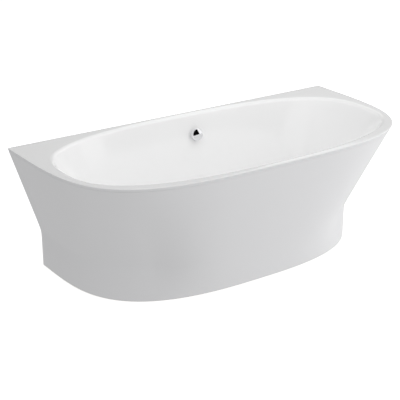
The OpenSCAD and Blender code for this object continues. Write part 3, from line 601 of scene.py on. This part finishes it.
def shell_rows():
    """Rings of points from the bowl's floor over the rim to the underside; the lip's first and last."""
    edge = rim_ring(HEIGHT, 0.0)
    phi = np.arctan2(edge[:, 1] - BOWL_Y, edge[:, 0])
    rows = [around(p, phi) for p in bowl_profile(phi, 0.0, 0.0, BOWL_STEPS)]
    deck_end = rim_ring(HEIGHT, EDGE_ROUND)
    rows += [rows[-1] + u * (deck_end - rows[-1]) for u in (0.25, 0.5, 0.75)]
    for a in np.linspace(0, math.pi / 2, 6):
        rows.append(rim_ring(HEIGHT - EDGE_ROUND * (1 - math.cos(a)), EDGE_ROUND * (1 - math.sin(a))))
    # The lip starts within the rounding
    lip_start = len(rows) - 3
    soft_edge = 0.6 * MM
    rows += [rim_ring(LIP_Z + soft_edge, 0.0), rim_ring(LIP_Z, soft_edge)]
    rows += [rim_ring(LIP_Z, LIP_T), rim_ring(HEIGHT - SHELL, LIP_T)]
    lip_end = len(rows) - 2
    grow = SHELL / math.cos(WALL_SLOPE) - SHELL * math.tan(WALL_SLOPE)
    underside = [around(p, phi) for p in bowl_profile(phi, grow, SHELL, UNDERSIDE_STEPS)][::-1]
    rows += [np.array([laid_up(p) for p in row]) for row in underside]
    return rows, lip_start, lip_end


def build_shell():
    """Bowl, deck and rim as one sheet, with holes for the overflow and the waste."""
    rows, lip_start, lip_end = shell_rows()
    n, m = len(rows), len(rows[0])
    verts = [v for row in rows for v in row] + [(0, BOWL_Y, FLOOR_Z), (0, BOWL_Y, FLOOR_Z - SHELL)]
    faces = lattice(n, m, wrap_columns=True)
    inside, lip, underneath = range(3)
    # The lip's faces take the darker apron acrylic: painted shade on the rim's outer edge.
    skins = [inside] * (lip_start * m) + [lip] * ((lip_end - lip_start) * m)
    skins += [underneath] * (len(faces) - len(skins)) + [inside] * m + [underneath] * m
    last = (n - 1) * m
    faces += [(n * m, (j + 1) % m, j) for j in range(m)]
    faces += [(n * m + 1, last + j, last + (j + 1) % m) for j in range(m)]
    shell = as_object("bath_shell", (verts, faces))
    finish_piece(shell, [ACRYLIC, SHADED_APRON_ACRYLIC, FIBREGLASS], ["basin_shell"], material_of_face=skins)
    cut_round(shell, OVERFLOW, OVERFLOW_HOLE_R, -2 * SHELL, SHELL)
    cut_round(shell, WASTE, DRAIN_HOLE_R, FLOOR_Z - 2 * SHELL, FLOOR_Z + SHELL)


# ---- The apron ----

APRON_STEPS = 260
# The levels crowd round the knee: their number, and how widely they spread below and above it
LEVELS, SPREAD_LOW, SPREAD_HIGH = 56, -1.7, 2.6
APRON_EDGE = 1.2 * MM


def apron_loop():
    """Heights and insets round the apron's section: up the outside, over the top, down the inside."""
    spread = np.sinh(np.linspace(SPREAD_LOW, SPREAD_HIGH, LEVELS)) / math.sinh(SPREAD_HIGH)
    levels = KNEE_Z + spread * (APRON_TOP - KNEE_Z)
    levels = levels[(levels > APRON_LOW + 4 * MM) & (levels < APRON_TOP - 2 * MM)]
    r = APRON_EDGE
    loop = [(APRON_LOW + r * (1 + math.sin(a)), r * (1 - math.cos(a)))
            for a in np.linspace(-math.pi / 2, 0, 4)]
    loop += [(z, 0.0) for z in levels] + [(APRON_TOP - r / 2, 0.0), (APRON_TOP, r / 2)]
    inner = len(loop)
    loop += [(APRON_TOP, APRON)] + [(z, APRON) for z in levels[::-2]] + [(APRON_LOW, APRON)]
    return loop, inner


def build_apron():
    """The apron's section, carried round the front and both ends up to the wall."""
    w = np.concatenate([[0.0], np.linspace(FIRST_W, math.pi - FIRST_W, APRON_STEPS), [math.pi]])
    loop, inner = apron_loop()
    rows = [form(w, z, inset) for z, inset in loop]
    for row in rows:
        row[0, 1] = row[-1, 1] = WALL_Y
    n, m = len(rows), len(w)
    faces = [face[::-1] for face in lattice(n, m, wrap_rows=True)]
    hidden_side = [1 if i // (m - 1) >= inner else 0 for i in range(len(faces))] + [0, 0]
    faces += [[i * m for i in reversed(range(n))], [i * m + m - 1 for i in range(n)]]
    apron = as_object("apron", ([v for row in rows for v in row], faces))
    # The apron's outside takes the darker acrylic: painted shade.
    finish_piece(apron, [SHADED_APRON_ACRYLIC, FIBREGLASS], ["skirt_panel"], material_of_face=hidden_side)


# ---- Frame: square tubes with end caps ----

TUBE_WALL, TUBE_CORNER, TUBE_EDGE = 2 * MM, 4 * MM, 0.4 * MM
CAP_T, CAP_PLUG = 1.6 * MM, 8 * MM
STUD_HOLE_R = 5.3 * MM
AXES = {"x": ((1, 0, 0), (0, 1, 0)), "y": ((0, 1, 0), (0, 0, 1)), "z": ((0, 0, 1), (1, 0, 0))}


def rounded_square(half, r):
    steps = 6
    points = []
    for k, (sx, sy) in enumerate([(1, 1), (-1, 1), (-1, -1), (1, -1)]):
        for a in np.linspace(k * math.pi / 2, (k + 1) * math.pi / 2, steps):
            points.append((sx * (half - r) + r * math.cos(a), sy * (half - r) + r * math.sin(a)))
    return points


def stacked(levels, closed=False):
    """Outlines of equal length at heights, from bottom to top on the outer side, as one skin."""
    m = len(levels[0][0])
    verts = [(x, y, z) for outline_points, z in levels for x, y in outline_points]
    faces = lattice(len(levels), m, wrap_rows=closed, wrap_columns=True)
    if not closed:
        faces += [list(reversed(range(m))), [(len(levels) - 1) * m + j for j in range(m)]]
    return verts, faces


def tube_shape(half, low, high):
    outer = rounded_square(half, TUBE_CORNER)
    inner = rounded_square(half - TUBE_WALL, TUBE_CORNER - TUBE_WALL)
    eased = rounded_square(half - TUBE_EDGE, TUBE_CORNER - TUBE_EDGE)
    return stacked([(eased, low), (outer, low + TUBE_EDGE), (outer, high - TUBE_EDGE), (eased, high),
                    (inner, high), (inner, low)], closed=True)


def cap_shape(half, base, direction):
    """A pressed-in plastic cap: a flange with a domed edge, and its plug inside the tube."""
    outer, face = rounded_square(half, TUBE_CORNER), rounded_square(half - 1.2 * MM, 3 * MM)
    plug = rounded_square(half - TUBE_WALL, TUBE_CORNER - TUBE_WALL)
    levels = [(plug, -CAP_PLUG), (plug, 0), (outer, 0), (outer, CAP_T / 2), (face, CAP_T)]
    verts, faces = stacked(levels)
    if direction < 0:
        faces = [face[::-1] for face in faces]
    return [(x, y, base + direction * z) for x, y, z in verts], faces


def build_tube(node, axis, capped=(), holes=()):
    """A steel tube in the place of a node, with caps at its low (-1) or high (1) end."""
    low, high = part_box(node)
    index = "xyz".index(axis)
    centre = (low + high) / 2
    half_length = (high[index] - low[index]) / 2
    half_width = (high[(index + 1) % 3] - low[(index + 1) % 3]) / 2
    place = frame_at(centre, *AXES[axis])
    ends = [side * (half_length - (CAP_T if side in capped else 0)) for side in (-1, 1)]
    shape = moved(tube_shape(half_width, *ends), place)
    tube = add_piece(node.replace("rail", "tube"), shape, GALVANISED, node)
    for hole in holes:
        cut_round(tube, Matrix.Translation((hole.x, hole.y, low.z)), STUD_HOLE_R, -MM, 2 * TUBE_WALL)
    for side in capped:
        cap = moved(cap_shape(half_width, ends[(side + 1) // 2], side), place)
        add_detail(f"{node}_cap_{'low' if side < 0 else 'high'}", cap, FOOT_PLASTIC, node)


FEET = ("front_left", "front_right", "rear_left", "rear_right", "wall_left", "wall_right")


def build_frame():
    foot = {name: middle(f"foot_stud_{name}") for name in FEET}
    build_tube("rail_front", "x", (-1, 1), (foot["front_left"], foot["front_right"]))
    build_tube("rail_rear", "x", (-1, 1), (foot["rear_left"], foot["rear_right"]))
    for side in ("left", "right"):
        build_tube(f"cross_rail_{side}", "y")
        build_tube(f"outrigger_{side}", "y", (1,), (foot[f"wall_{side}"],))
        build_tube(f"rim_post_{side}", "z")
        softened(f"wall_angle_{side}", f"wall_bracket_{side}", GALVANISED, 0.6 * MM, 3)
    softened("apron_straps", "panel_brackets", GALVANISED, 0.5 * MM, 2)
    softened("glue_pads", "adhesive_pads", ADHESIVE, 1.1 * MM, 4)


def build_boards():
    softened("floor_board", "base_board", CHIPBOARD, 1.0 * MM, 2)
    for side in ("left", "right"):
        softened(f"rim_board_{side}", f"corner_board_{side}", CHIPBOARD, 1.0 * MM, 2)
        softened(f"end_batten_{side}", f"side_batten_{side}", SOFTWOOD, 2.0 * MM, 3, 60)


# ---- Fasteners and feet ----

HEX_STEPS = 72
# The levelling stud: its thread, its hexagon, and the nut that locks it
STUD_R, STUD_PITCH, STUD_LOW = 5 * MM, 1.5 * MM, 19 * MM
STUD_HEX, STUD_HEX_LOW, STUD_HEX_HIGH = 16 * MM, 20 * MM, 26 * MM
LOCK_HEX, LOCK_BORE = 17 * MM, 4.9 * MM


def hexagon(across):
    """Radius of a hexagon of the given width across its flats, in direction a."""
    return lambda a: across / 2 / math.cos((a + math.pi / 6) % (math.pi / 3) - math.pi / 6)


def hex_shape(across, low, high, bore=0.0):
    """A hexagon nut or head with turned chamfers, bored through or solid."""
    flat = hexagon(across)
    face_r = 0.475 * across
    chamfer = 0.10 * across
    profile = [(face_r, low), (across, low + chamfer), (across, high - chamfer), (face_r, high)]
    if bore:
        profile += [(bore, high), (bore, low)]
    else:
        profile = [(0, low)] + profile + [(0, high)]
    return lathe(profile, HEX_STEPS, lambda r, z, a: min(r, flat(a)), closed=bool(bore))


def washer_shape(r, bore, low, high):
    edge = (high - low) / 4
    outside = [(r - edge, low), (r, low + edge), (r, high - edge), (r - edge, high)]
    return lathe(outside + [(bore, high), (bore, low)], 48, closed=True)


def thread_shape(r, pitch, low, high):
    """A threaded rod along Z with a chamfered tip at each end."""
    steps, rows_per_turn = 28, 5
    depth = 0.5 * pitch
    heights = np.arange(low + pitch, high - pitch, pitch / rows_per_turn)

    def ridge(radius, z, a):
        phase = (z / pitch - a / TURN) % 1
        return radius - depth * abs(2 * phase - 1) if radius == r else radius

    profile = [(0, low), (r - depth, low)] + [(r, z) for z in heights] + [(r - depth, high), (0, high)]
    return lathe(profile, steps, ridge)


def bolt_shape():
    """An M8 bolt along +Z, with a washer between its head and the tube's face at z = 0."""
    grip, past_nut = 32 * MM, 8 * MM
    washer_t, head_t = 1.4 * MM, 3.9 * MM
    return joined([hex_shape(13 * MM, -washer_t - head_t, -washer_t),
                   washer_shape(8.5 * MM, 4.2 * MM, -washer_t, 0),
                   thread_shape(4 * MM, 1.25 * MM, -washer_t, grip + past_nut)])


def build_bolts():
    front, rear = middle("rail_front"), middle("rail_rear")
    tube_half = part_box("rail_rear")[1].y - rear.y
    cross = middle("cross_rail_right").x
    outrigger = middle("outrigger_right").x
    bolts = []
    for side in (-1, 1):
        places = [(side * cross, front.y - tube_half, 1), (side * outrigger, rear.y - tube_half, 1),
                  (side * cross, rear.y + tube_half, -1)]
        for x, y, direction in places:
            bolts.append(moved(bolt_shape(), frame_at((x, y, rear.z), (0, direction, 0), (1, 0, 0))))
    add_piece("tube_bolts", joined(bolts), ZINC, "frame_bolts")
    low, high = (corner.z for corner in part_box("lock_nuts"))
    nuts = [moved(hex_shape(LOCK_HEX, low, high, LOCK_BORE), Matrix.Translation((p.x, p.y, 0)))
            for p in (middle(f"foot_stud_{name}") for name in FEET)]
    add_piece("foot_lock_nuts", joined(nuts), ZINC, "lock_nuts")


def pad_shape():
    """A foot's pad: a broad ribbed disc that narrows to a socket for the stud's end."""
    grips, grip_depth, grip_from = 36, 0.5 * MM, 26 * MM
    disc = [(0, 0), (27 * MM, 0)] + arc((28 * MM, 2 * MM), 2 * MM, -60, 60, 5) + [(29.4 * MM, 5 * MM)]
    disc += arc((28.2 * MM, 5.2 * MM), 1.2 * MM, 20, 80, 3)
    neck = [(22 * MM, 8.4 * MM), (14 * MM, 10.2 * MM), (11.2 * MM, 11.8 * MM), (10.3 * MM, 17.6 * MM)]
    socket = arc((9 * MM, 18 * MM), 1.0 * MM, 0, 90, 4) + [(5.4 * MM, 19 * MM), (0, 18.6 * MM)]

    def grip(r, z, a):
        return r - grip_depth * (0.5 + 0.5 * math.cos(grips * a)) if r > grip_from and z > MM else r

    return lathe(disc + neck + socket, 144, grip)


def build_foot(name):
    """A levelling foot: a threaded stud with a spanner hexagon, in a ribbed plastic pad."""
    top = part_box(f"foot_stud_{name}")[1].z
    centre = middle(f"foot_stud_{name}")
    at = Matrix.Translation((centre.x, centre.y, 0))
    stud = joined([thread_shape(STUD_R, STUD_PITCH, STUD_LOW, top),
                   hex_shape(STUD_HEX, STUD_HEX_LOW, STUD_HEX_HIGH)])
    add_piece(f"threaded_stud_{name}", moved(stud, at), ZINC, f"foot_stud_{name}")
    add_piece(f"ribbed_pad_{name}", moved(pad_shape(), at), FOOT_PLASTIC, f"foot_pad_{name}")


# ---- Rotary overflow ----

def build_knob():
    """A chrome cap: domed face, rolled edge, hollow behind, with a hub for the spindle."""
    r, back, face, edge = 29 * MM, 5 * MM, 23 * MM, 4.5 * MM
    wall, hub, hub_back, dome = 2.5 * MM, 6 * MM, 8 * MM, 1 * MM
    lip, chamfer, hollow_top = 0.8 * MM, 0.3 * MM, face - 3.5 * MM
    profile = [(0, hub_back), (hub, hub_back), (hub, hollow_top), (r - edge, hollow_top)]
    profile += [(r - wall, face - edge - MM), (r - wall, back + chamfer), (r - wall + chamfer, back)]
    profile += arc((r - lip, back + lip), lip, -90, 0, 5)
    profile += arc((r - edge, face - edge), edge, 0, 90, 12)[:-1]
    profile += [((r - edge) * u, face + dome * (1 - u * u)) for u in np.linspace(1, 0, 14)]
    add_piece("rotary_knob", moved(lathe(profile, 128), OVERFLOW), CHROME, "overflow_knob", sharp=40)


def ribbed_nut(r, bore, low, high, ribs):
    """A hand-tightened union nut: rounded ends, and a ring of grip ribs between them."""
    edge, groove = 1.5 * MM, 1.6 * MM

    def rib(radius, z, a):
        if radius < r or not low + edge < z < high - edge:
            return radius
        return radius - groove * (0.5 - 0.5 * math.cos(ribs * a)) ** 0.5

    profile = [(bore + edge, low), (r - 2 * edge, low)]
    profile += [(r - groove - 0.1 * MM, low + 0.3 * edge), (r - groove, low + edge)]
    profile += [(r, z) for z in np.linspace(low + edge + 0.4 * MM, high - edge - 0.4 * MM, 5)]
    profile += [(r - groove, high - edge), (r - groove - 0.1 * MM, high - 0.3 * edge), (r - 2 * edge, high)]
    profile += [(bore, high), (bore, low)]
    return lathe(profile, ribs * 8, rib, closed=True)


def catmull(points, steps):
    """Smooth path through a route, with the given number of steps between two points."""
    p = np.array(points)
    p = np.concatenate([p[:1], p, p[-1:]])
    path = []
    for i in range(1, len(p) - 2):
        a, b, c, d = p[i - 1:i + 3]
        for s in range(steps):
            u = s / steps
            path.append(0.5 * (2 * b + (c - a) * u + (2 * a - 5 * b + 4 * c - d) * u ** 2
                               + (3 * b - 3 * c + d - a) * u ** 3))
    return np.array(path + [p[-1]])


def resampled(path, spacing):
    """The same path with points at even distances."""
    along = np.concatenate([[0], np.cumsum(np.linalg.norm(np.diff(path, axis=0), axis=1))])
    count = max(2, round(along[-1] / spacing))
    even = np.linspace(0, along[-1], count + 1)
    return np.stack([np.interp(even, along, path[:, k]) for k in range(2)], -1), even


def swept(x, route, radius_at, spacing, sides):
    """A round tube along a route of (y, z) in the plane at x; radius_at gives its radius at a length."""
    points, along = resampled(catmull(route, 8), spacing)
    tangent = np.gradient(points, axis=0)
    tangent /= np.linalg.norm(tangent, axis=1)[:, None]
    verts = []
    for (y, z), (ty, tz), s in zip(points, tangent, along):
        r = radius_at(s, along[-1])
        for k in range(sides):
            a = TURN * k / sides
            across, side = r * math.cos(a), r * math.sin(a)
            verts.append((x + across, y + side * tz, z - side * ty))
    n = len(points)
    faces = lattice(n, sides, wrap_columns=True)
    faces += [list(reversed(range(sides))), [(n - 1) * sides + k for k in range(sides)]]
    return verts, [face[::-1] for face in faces]


def on_overflow(up, out):
    """A place in the overflow's mid plane as (y, z): up the wall, and out of it."""
    place = OVERFLOW @ Vector((0, up, out))
    return place.y, place.z


SPIGOT_END = 60 * MM
OUTLET_OUT = -24 * MM
INLET_Z = 78 * MM
CABLE_Z = 86 * MM
GLAND_X = 26 * MM
HOSE_R, CABLE_R = 13 * MM, 2.5 * MM
# Both routes leave the overflow in a straight line for this long
STRAIGHT = 20 * MM
# The bends behind the rear wall, as (y, z) in millimetres
HOSE_BENDS = ((341, 365), (328, 315), (311, 260), (291, 205), (265, 155), (236, 115), (200, 88))
CABLE_BENDS = ((352, 400), (340, 355), (324, 300), (307, 248), (286, 198), (258, 150), (228, 115), (195, 93))


def route_down(start_up, bends, end_z, end_ys):
    """A route as (y, z): down along the overflow's wall, round the bends, and level to the waste."""
    start = [on_overflow(start_up, OUTLET_OUT), on_overflow(start_up - STRAIGHT, OUTLET_OUT)]
    return start + [(y * MM, z * MM) for y, z in bends] + [(y, end_z) for y in end_ys]


def hose_radius(s, length):
    """Ribs along the hose, and plain cuffs at its ends."""
    pitch, depth, cuff = 6 * MM, 1.5 * MM, 14 * MM
    if min(s, length - s) < cuff:
        return HOSE_R
    return HOSE_R - depth * (0.5 - 0.5 * math.cos(TURN * s / pitch)) ** 0.7


def cable_radius(s, length):
    """A plain sheath, with a stepped ferrule at each end."""
    end = min(s, length - s)
    if end > 14 * MM:
        return CABLE_R
    return CABLE_R * (1.25 if end < 12 * MM else 1.1)


def build_hose_and_cable():
    hose_route = route_down(-SPIGOT_END - 0.2 * MM, HOSE_BENDS, INLET_Z,
                            (160 * MM, 115 * MM, BOWL_Y + 60.2 * MM))
    cable_route = route_down(-25.2 * MM, CABLE_BENDS, CABLE_Z, (155 * MM, 110 * MM, BOWL_Y + 37.2 * MM))
    hose = swept(WASTE_X, hose_route, hose_radius, 1 * MM, 32)
    cable = swept(WASTE_X + GLAND_X, cable_route, cable_radius, 2 * MM, 16)
    add_piece("corrugated_hose", hose, HOSE_PLASTIC, "overflow_hose", sharp=60)
    add_piece("control_cable", cable, SHEATH, "bowden_cable")
    down_spigot = OVERFLOW @ frame_at((0, 0, OUTLET_OUT), (0, -1, 0), (1, 0, 0))
    to_wall = WASTE @ frame_at((0, 0, INLET_Z), (0, 1, 0), (1, 0, 0))
    r, bore, ribs = 18 * MM, HOSE_R + 0.3 * MM, 20
    nuts = [moved(ribbed_nut(r, bore, SPIGOT_END - 16 * MM, SPIGOT_END + 4 * MM, ribs), down_spigot),
            moved(ribbed_nut(r, bore, 46 * MM, 66 * MM, ribs), to_wall)]
    add_piece("hose_union_nuts", joined(nuts), KIT_PLASTIC, "hose_nuts")


# ---- Waste and trap ----

PLUG_R = 31.5 * MM
FLANGE_R = 35 * MM


def build_flange():
    """The drain's chrome flange: a rolled rim on the floor, a seat for the plug, and a threaded skirt."""
    skirt, bore, low = 26 * MM, 24 * MM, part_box("waste_flange")[0].z
    seat = FLOOR_Z + 1.5 * MM
    pitch, depth = 1.5 * MM, 0.6 * MM

    def thread(r, z, a):
        cut = skirt - depth * abs(2 * ((z / pitch - a / TURN) % 1) - 1)
        return cut if r == skirt and z < FLOOR_Z - 8 * MM else r

    profile = [(bore, low)] + [(skirt, z) for z in np.arange(low, FLOOR_Z - 7 * MM, pitch / 4)]
    profile += [(skirt, FLOOR_Z + 0.3 * MM), (FLANGE_R - 0.3 * MM, FLOOR_Z + 0.3 * MM)]
    profile += arc((FLANGE_R - 0.8 * MM, FLOOR_Z + 1.1 * MM), 0.8 * MM, -60, 60, 5)
    profile += arc((FLANGE_R - 3 * MM, FLOOR_Z + 0.4 * MM), 2.2 * MM, 60, 110, 6)
    profile += [(PLUG_R + 0.5 * MM, seat + 0.3 * MM), (PLUG_R, seat), (bore, seat)]
    shape = joined([lathe(profile, 96, thread, closed=True), spider_shape(bore)])
    add_piece("drain_flange", moved(shape, WASTE), CHROME, "waste_flange", sharp=40)


def spider_shape(bore):
    """Four arms with a guide for the plug's stem."""
    low, high = 118 * MM, 124 * MM
    hub_r, guide_r, edge = 8 * MM, 4.1 * MM, 0.5 * MM
    hub = lathe([(guide_r, low), (hub_r - edge, low), (hub_r, low + edge), (hub_r, high - edge),
                 (hub_r - edge, high), (guide_r, high)], 48, closed=True)
    root, tip, half_width = hub_r - edge, bore + 0.8 * MM, 2 * MM
    parts = [hub]
    for angle in (45, 135, 225, 315):
        arm = [(root, -half_width), (tip, -half_width), (tip, half_width), (root, half_width)]
        narrow = [(x, 0.6 * y) for x, y in arm]
        parts.append(moved(stacked([(narrow, low), (arm, low + MM), (arm, high - MM), (narrow, high)]),
                           Matrix.Rotation(math.radians(angle), 4, "Z")))
    return joined(parts)


def build_plug():
    """The chrome drain plug: a shallow dome with a rolled edge, and a groove for its seal."""
    low = FLOOR_Z + 3.4 * MM
    top = low + 6.6 * MM
    boss_r, boss_low, edge = 8 * MM, low - 7 * MM, 1.1 * MM
    groove_in, groove_out, groove_top = 25 * MM, 29 * MM, low + 1 * MM
    profile = [(0, boss_low), (boss_r, boss_low), (boss_r, low), (groove_in, low), (groove_in, groove_top),
               (groove_out, groove_top), (groove_out, low), (PLUG_R - 0.5 * MM, low)]
    profile += arc((PLUG_R - edge, low + edge), edge, -60, 70, 8)
    rim_r, rim_z = profile[-1]
    profile += [(rim_r * u, top - (top - rim_z) * u * u) for u in np.linspace(0.97, 0, 16)]
    add_piece("domed_drain_plug", moved(lathe(profile, 128), WASTE), CHROME, "drain_plug", sharp=40)


def build_union_nuts():
    """The trap's union nuts: one at each end of the inlet pipe, and one on the trap's outlet."""
    out_z, trap_z = middle("trap_inlet_pipe").z, middle("outlet_pipe").z
    towards_trap = WASTE @ frame_at((0, 0, out_z), (-1, 0, 0), (0, 1, 0))
    towards_wall = TRAP @ frame_at((0, 0, trap_z), (0, 1, 0), (1, 0, 0))
    nuts = [(towards_trap, 45 * MM), (towards_trap, 82 * MM), (towards_wall, 51 * MM)]
    r, bore, half, ribs = 27 * MM, 20.2 * MM, 10 * MM, 24
    shapes = [moved(ribbed_nut(r, bore, at - half, at + half, ribs), place) for place, at in nuts]
    add_piece("trap_union_nuts", joined(shapes), KIT_PLASTIC, "union_nuts")


HOUSINGS = {
    "elbow_housing": "overflow_elbow", "waste_housing": "waste_body", "trap_housing": "trap_body",
    "trap_screw_cup": "trap_cup", "wall_pipe": "outlet_pipe",
}


def build_waste_kit():
    build_flange()
    build_plug()
    build_union_nuts()
    for name, node in HOUSINGS.items():
        softened(name, node, KIT_PLASTIC, 0.7 * MM, 3, 50)


# ---- Studio: floor, light and camera ----

BACKDROP_GLOW = 0.55
# From the knob to the flag's corners: degrees to the right of straight ahead, and degrees upwards
FLAG_CORNERS = ((18, 3), (37, 3), (30, 27), (14, 27))
FLAG_DISTANCE = 1.5
# The world's light: an even part, and soft glows, each with its direction, sharpness and strength
EVEN_LIGHT = 0.24
LOBES = (
    ((0, 0, -1), 1, 0.46),
    ((0, 0, 1), 2, 0.35),
    ((-1, 0, 0.3), 2, 0.26),
    ((0, -1, 0.3), 2, 0.155),
    ((-1, -1, 0.5), 4, 0.20),
    ((1, 0, -0.5), 4, 0.52),
    ((1, -1, 0.5), 4, 0.155),
    ((-1, 0, -0.5), 4, 0.055),
    ((0.3, 1, -0.1), 4, 0.20),
)
# Softboxes: name, place, the point faced, size in metres, watts, and whether the gloss mirrors them
AREA_LIGHTS = (
    ("top", (0, 0.2, 2.4), (0, 0, 0.3), 3.0, 18.5, False),
    ("top_right", (1.6, 0.6, 2.2), (0.3, 0, 0.3), 2.4, 13.5),
    ("front_right", (2.2, -2.8, 1.2), (0.2, 0, 0.3), 3.6, 23.0),
    ("front", (-0.5, -3.6, 2.4), (0, 0, 0.3), 3.0, 8.8),
    ("low_right", (2.4, -1.6, 0.2), (0.5, 0, 0.3), 1.6, 15.0, False),
)


def build_backdrop():
    """A pale floor that curves up into a pale wall all round, far from the tub."""
    paint = Paint("backdrop", Emission_Color=(1, 1, 1, 1), Emission_Strength=BACKDROP_GLOW)
    paint.set("Base Color", paint.blend(paint.clouds(3.0, 2), (0.88, 0.88, 0.88), (0.90, 0.90, 0.90)))
    paint.set("Roughness", paint.ramp(paint.clouds(0.4, 3), 0.85, 0.95))
    flat, sweep, top = 9, 5, 12
    profile = [(0, 0), (4, 0)] + arc((flat, sweep), sweep, -90, 0, 10) + [(flat + sweep, top)]
    backdrop = as_object("backdrop", lathe(profile, 96))
    backdrop.data.materials.append(paint.material)
    backdrop.data.polygons.foreach_set("use_smooth", [True] * len(backdrop.data.polygons))
    backdrop.visible_diffuse = False
    backdrop.visible_glossy = False
    backdrop.visible_shadow = False


def build_flag():
    """A black flag in front of the tub, unseen itself, which gives the knob its dark reflection."""
    paint = Paint("black_cloth", Specular_IOR_Level=0.0)
    paint.set("Base Color", paint.blend(paint.clouds(0.05, 4), (0.002, 0.002, 0.002), (0.005, 0.005, 0.005)))
    corners = []
    for azimuth, elevation in FLAG_CORNERS:
        turn, lift = math.radians(azimuth), math.radians(elevation)
        towards = Vector((math.sin(turn) * math.cos(lift), -math.cos(turn) * math.cos(lift), math.sin(lift)))
        corners.append(OVERFLOW.translation + FLAG_DISTANCE * towards)
    flag = as_object("flag", (corners, [(0, 1, 2, 3)]))
    flag.data.materials.append(paint.material)
    flag.visible_camera = flag.visible_diffuse = flag.visible_shadow = False


def area_light(name, at, towards, size, power, mirrored=True):
    data = bpy.data.lights.new(name, "AREA")
    data.size = size
    data.energy = power
    light = bpy.data.objects.new(name, data)
    light.location = at
    light.rotation_euler = (Vector(towards) - Vector(at)).to_track_quat("-Z", "Y").to_euler()
    light.visible_camera = False
    light.visible_glossy = mirrored
    bpy.context.scene.collection.objects.link(light)


def build_world():
    """Soft light from all round: the even part, and one glow after another added to it."""
    world = bpy.data.worlds.new("studio")
    world.use_nodes = True
    tree = world.node_tree
    place = tree.nodes.new("ShaderNodeTexCoord").outputs["Generated"]
    total = EVEN_LIGHT
    for direction, sharpness, strength in LOBES:
        facing = tree.nodes.new("ShaderNodeVectorMath")
        facing.operation = "DOT_PRODUCT"
        tree.links.new(place, facing.inputs[0])
        facing.inputs[1].default_value = Vector(direction).normalized()
        lit = maths(tree, "MAXIMUM", facing.outputs["Value"], 0)
        glow = maths(tree, "MULTIPLY", maths(tree, "POWER", lit, sharpness), strength)
        total = maths(tree, "ADD", glow, total)
    background = tree.nodes["Background"]
    tree.links.new(total, background.inputs["Color"])
    bpy.context.scene.world = world


def build_camera():
    """A long lens in front of the tub and to its left, looking down at it, as in the photo."""
    azimuth, elevation = math.radians(34.28), math.radians(21.91)
    distance = 4.587
    target = Vector((-0.1986, -0.0811, 0.3562))
    back = Vector((-math.sin(azimuth) * math.cos(elevation), -math.cos(azimuth) * math.cos(elevation),
                   math.sin(elevation)))
    data = bpy.data.cameras.new("camera")
    data.lens = 97.06
    data.sensor_width = 36.0
    camera = bpy.data.objects.new("camera", data)
    camera.location = target + distance * back
    camera.rotation_euler = (-back).to_track_quat("-Z", "Y").to_euler()
    bpy.context.scene.collection.objects.link(camera)
    bpy.context.scene.camera = camera


def build_studio():
    build_camera()
    build_backdrop()
    build_flag()
    build_world()
    for light in AREA_LIGHTS:
        area_light(*light)
    bpy.context.scene.view_settings.view_transform = "Standard"


# ---- The whole scene ----

build_studio()
dress_cad_nodes()
build_shell()
build_apron()
build_boards()
build_frame()
build_bolts()
for foot_name in FEET:
    build_foot(foot_name)
build_knob()
build_hose_and_cable()
build_waste_kit()
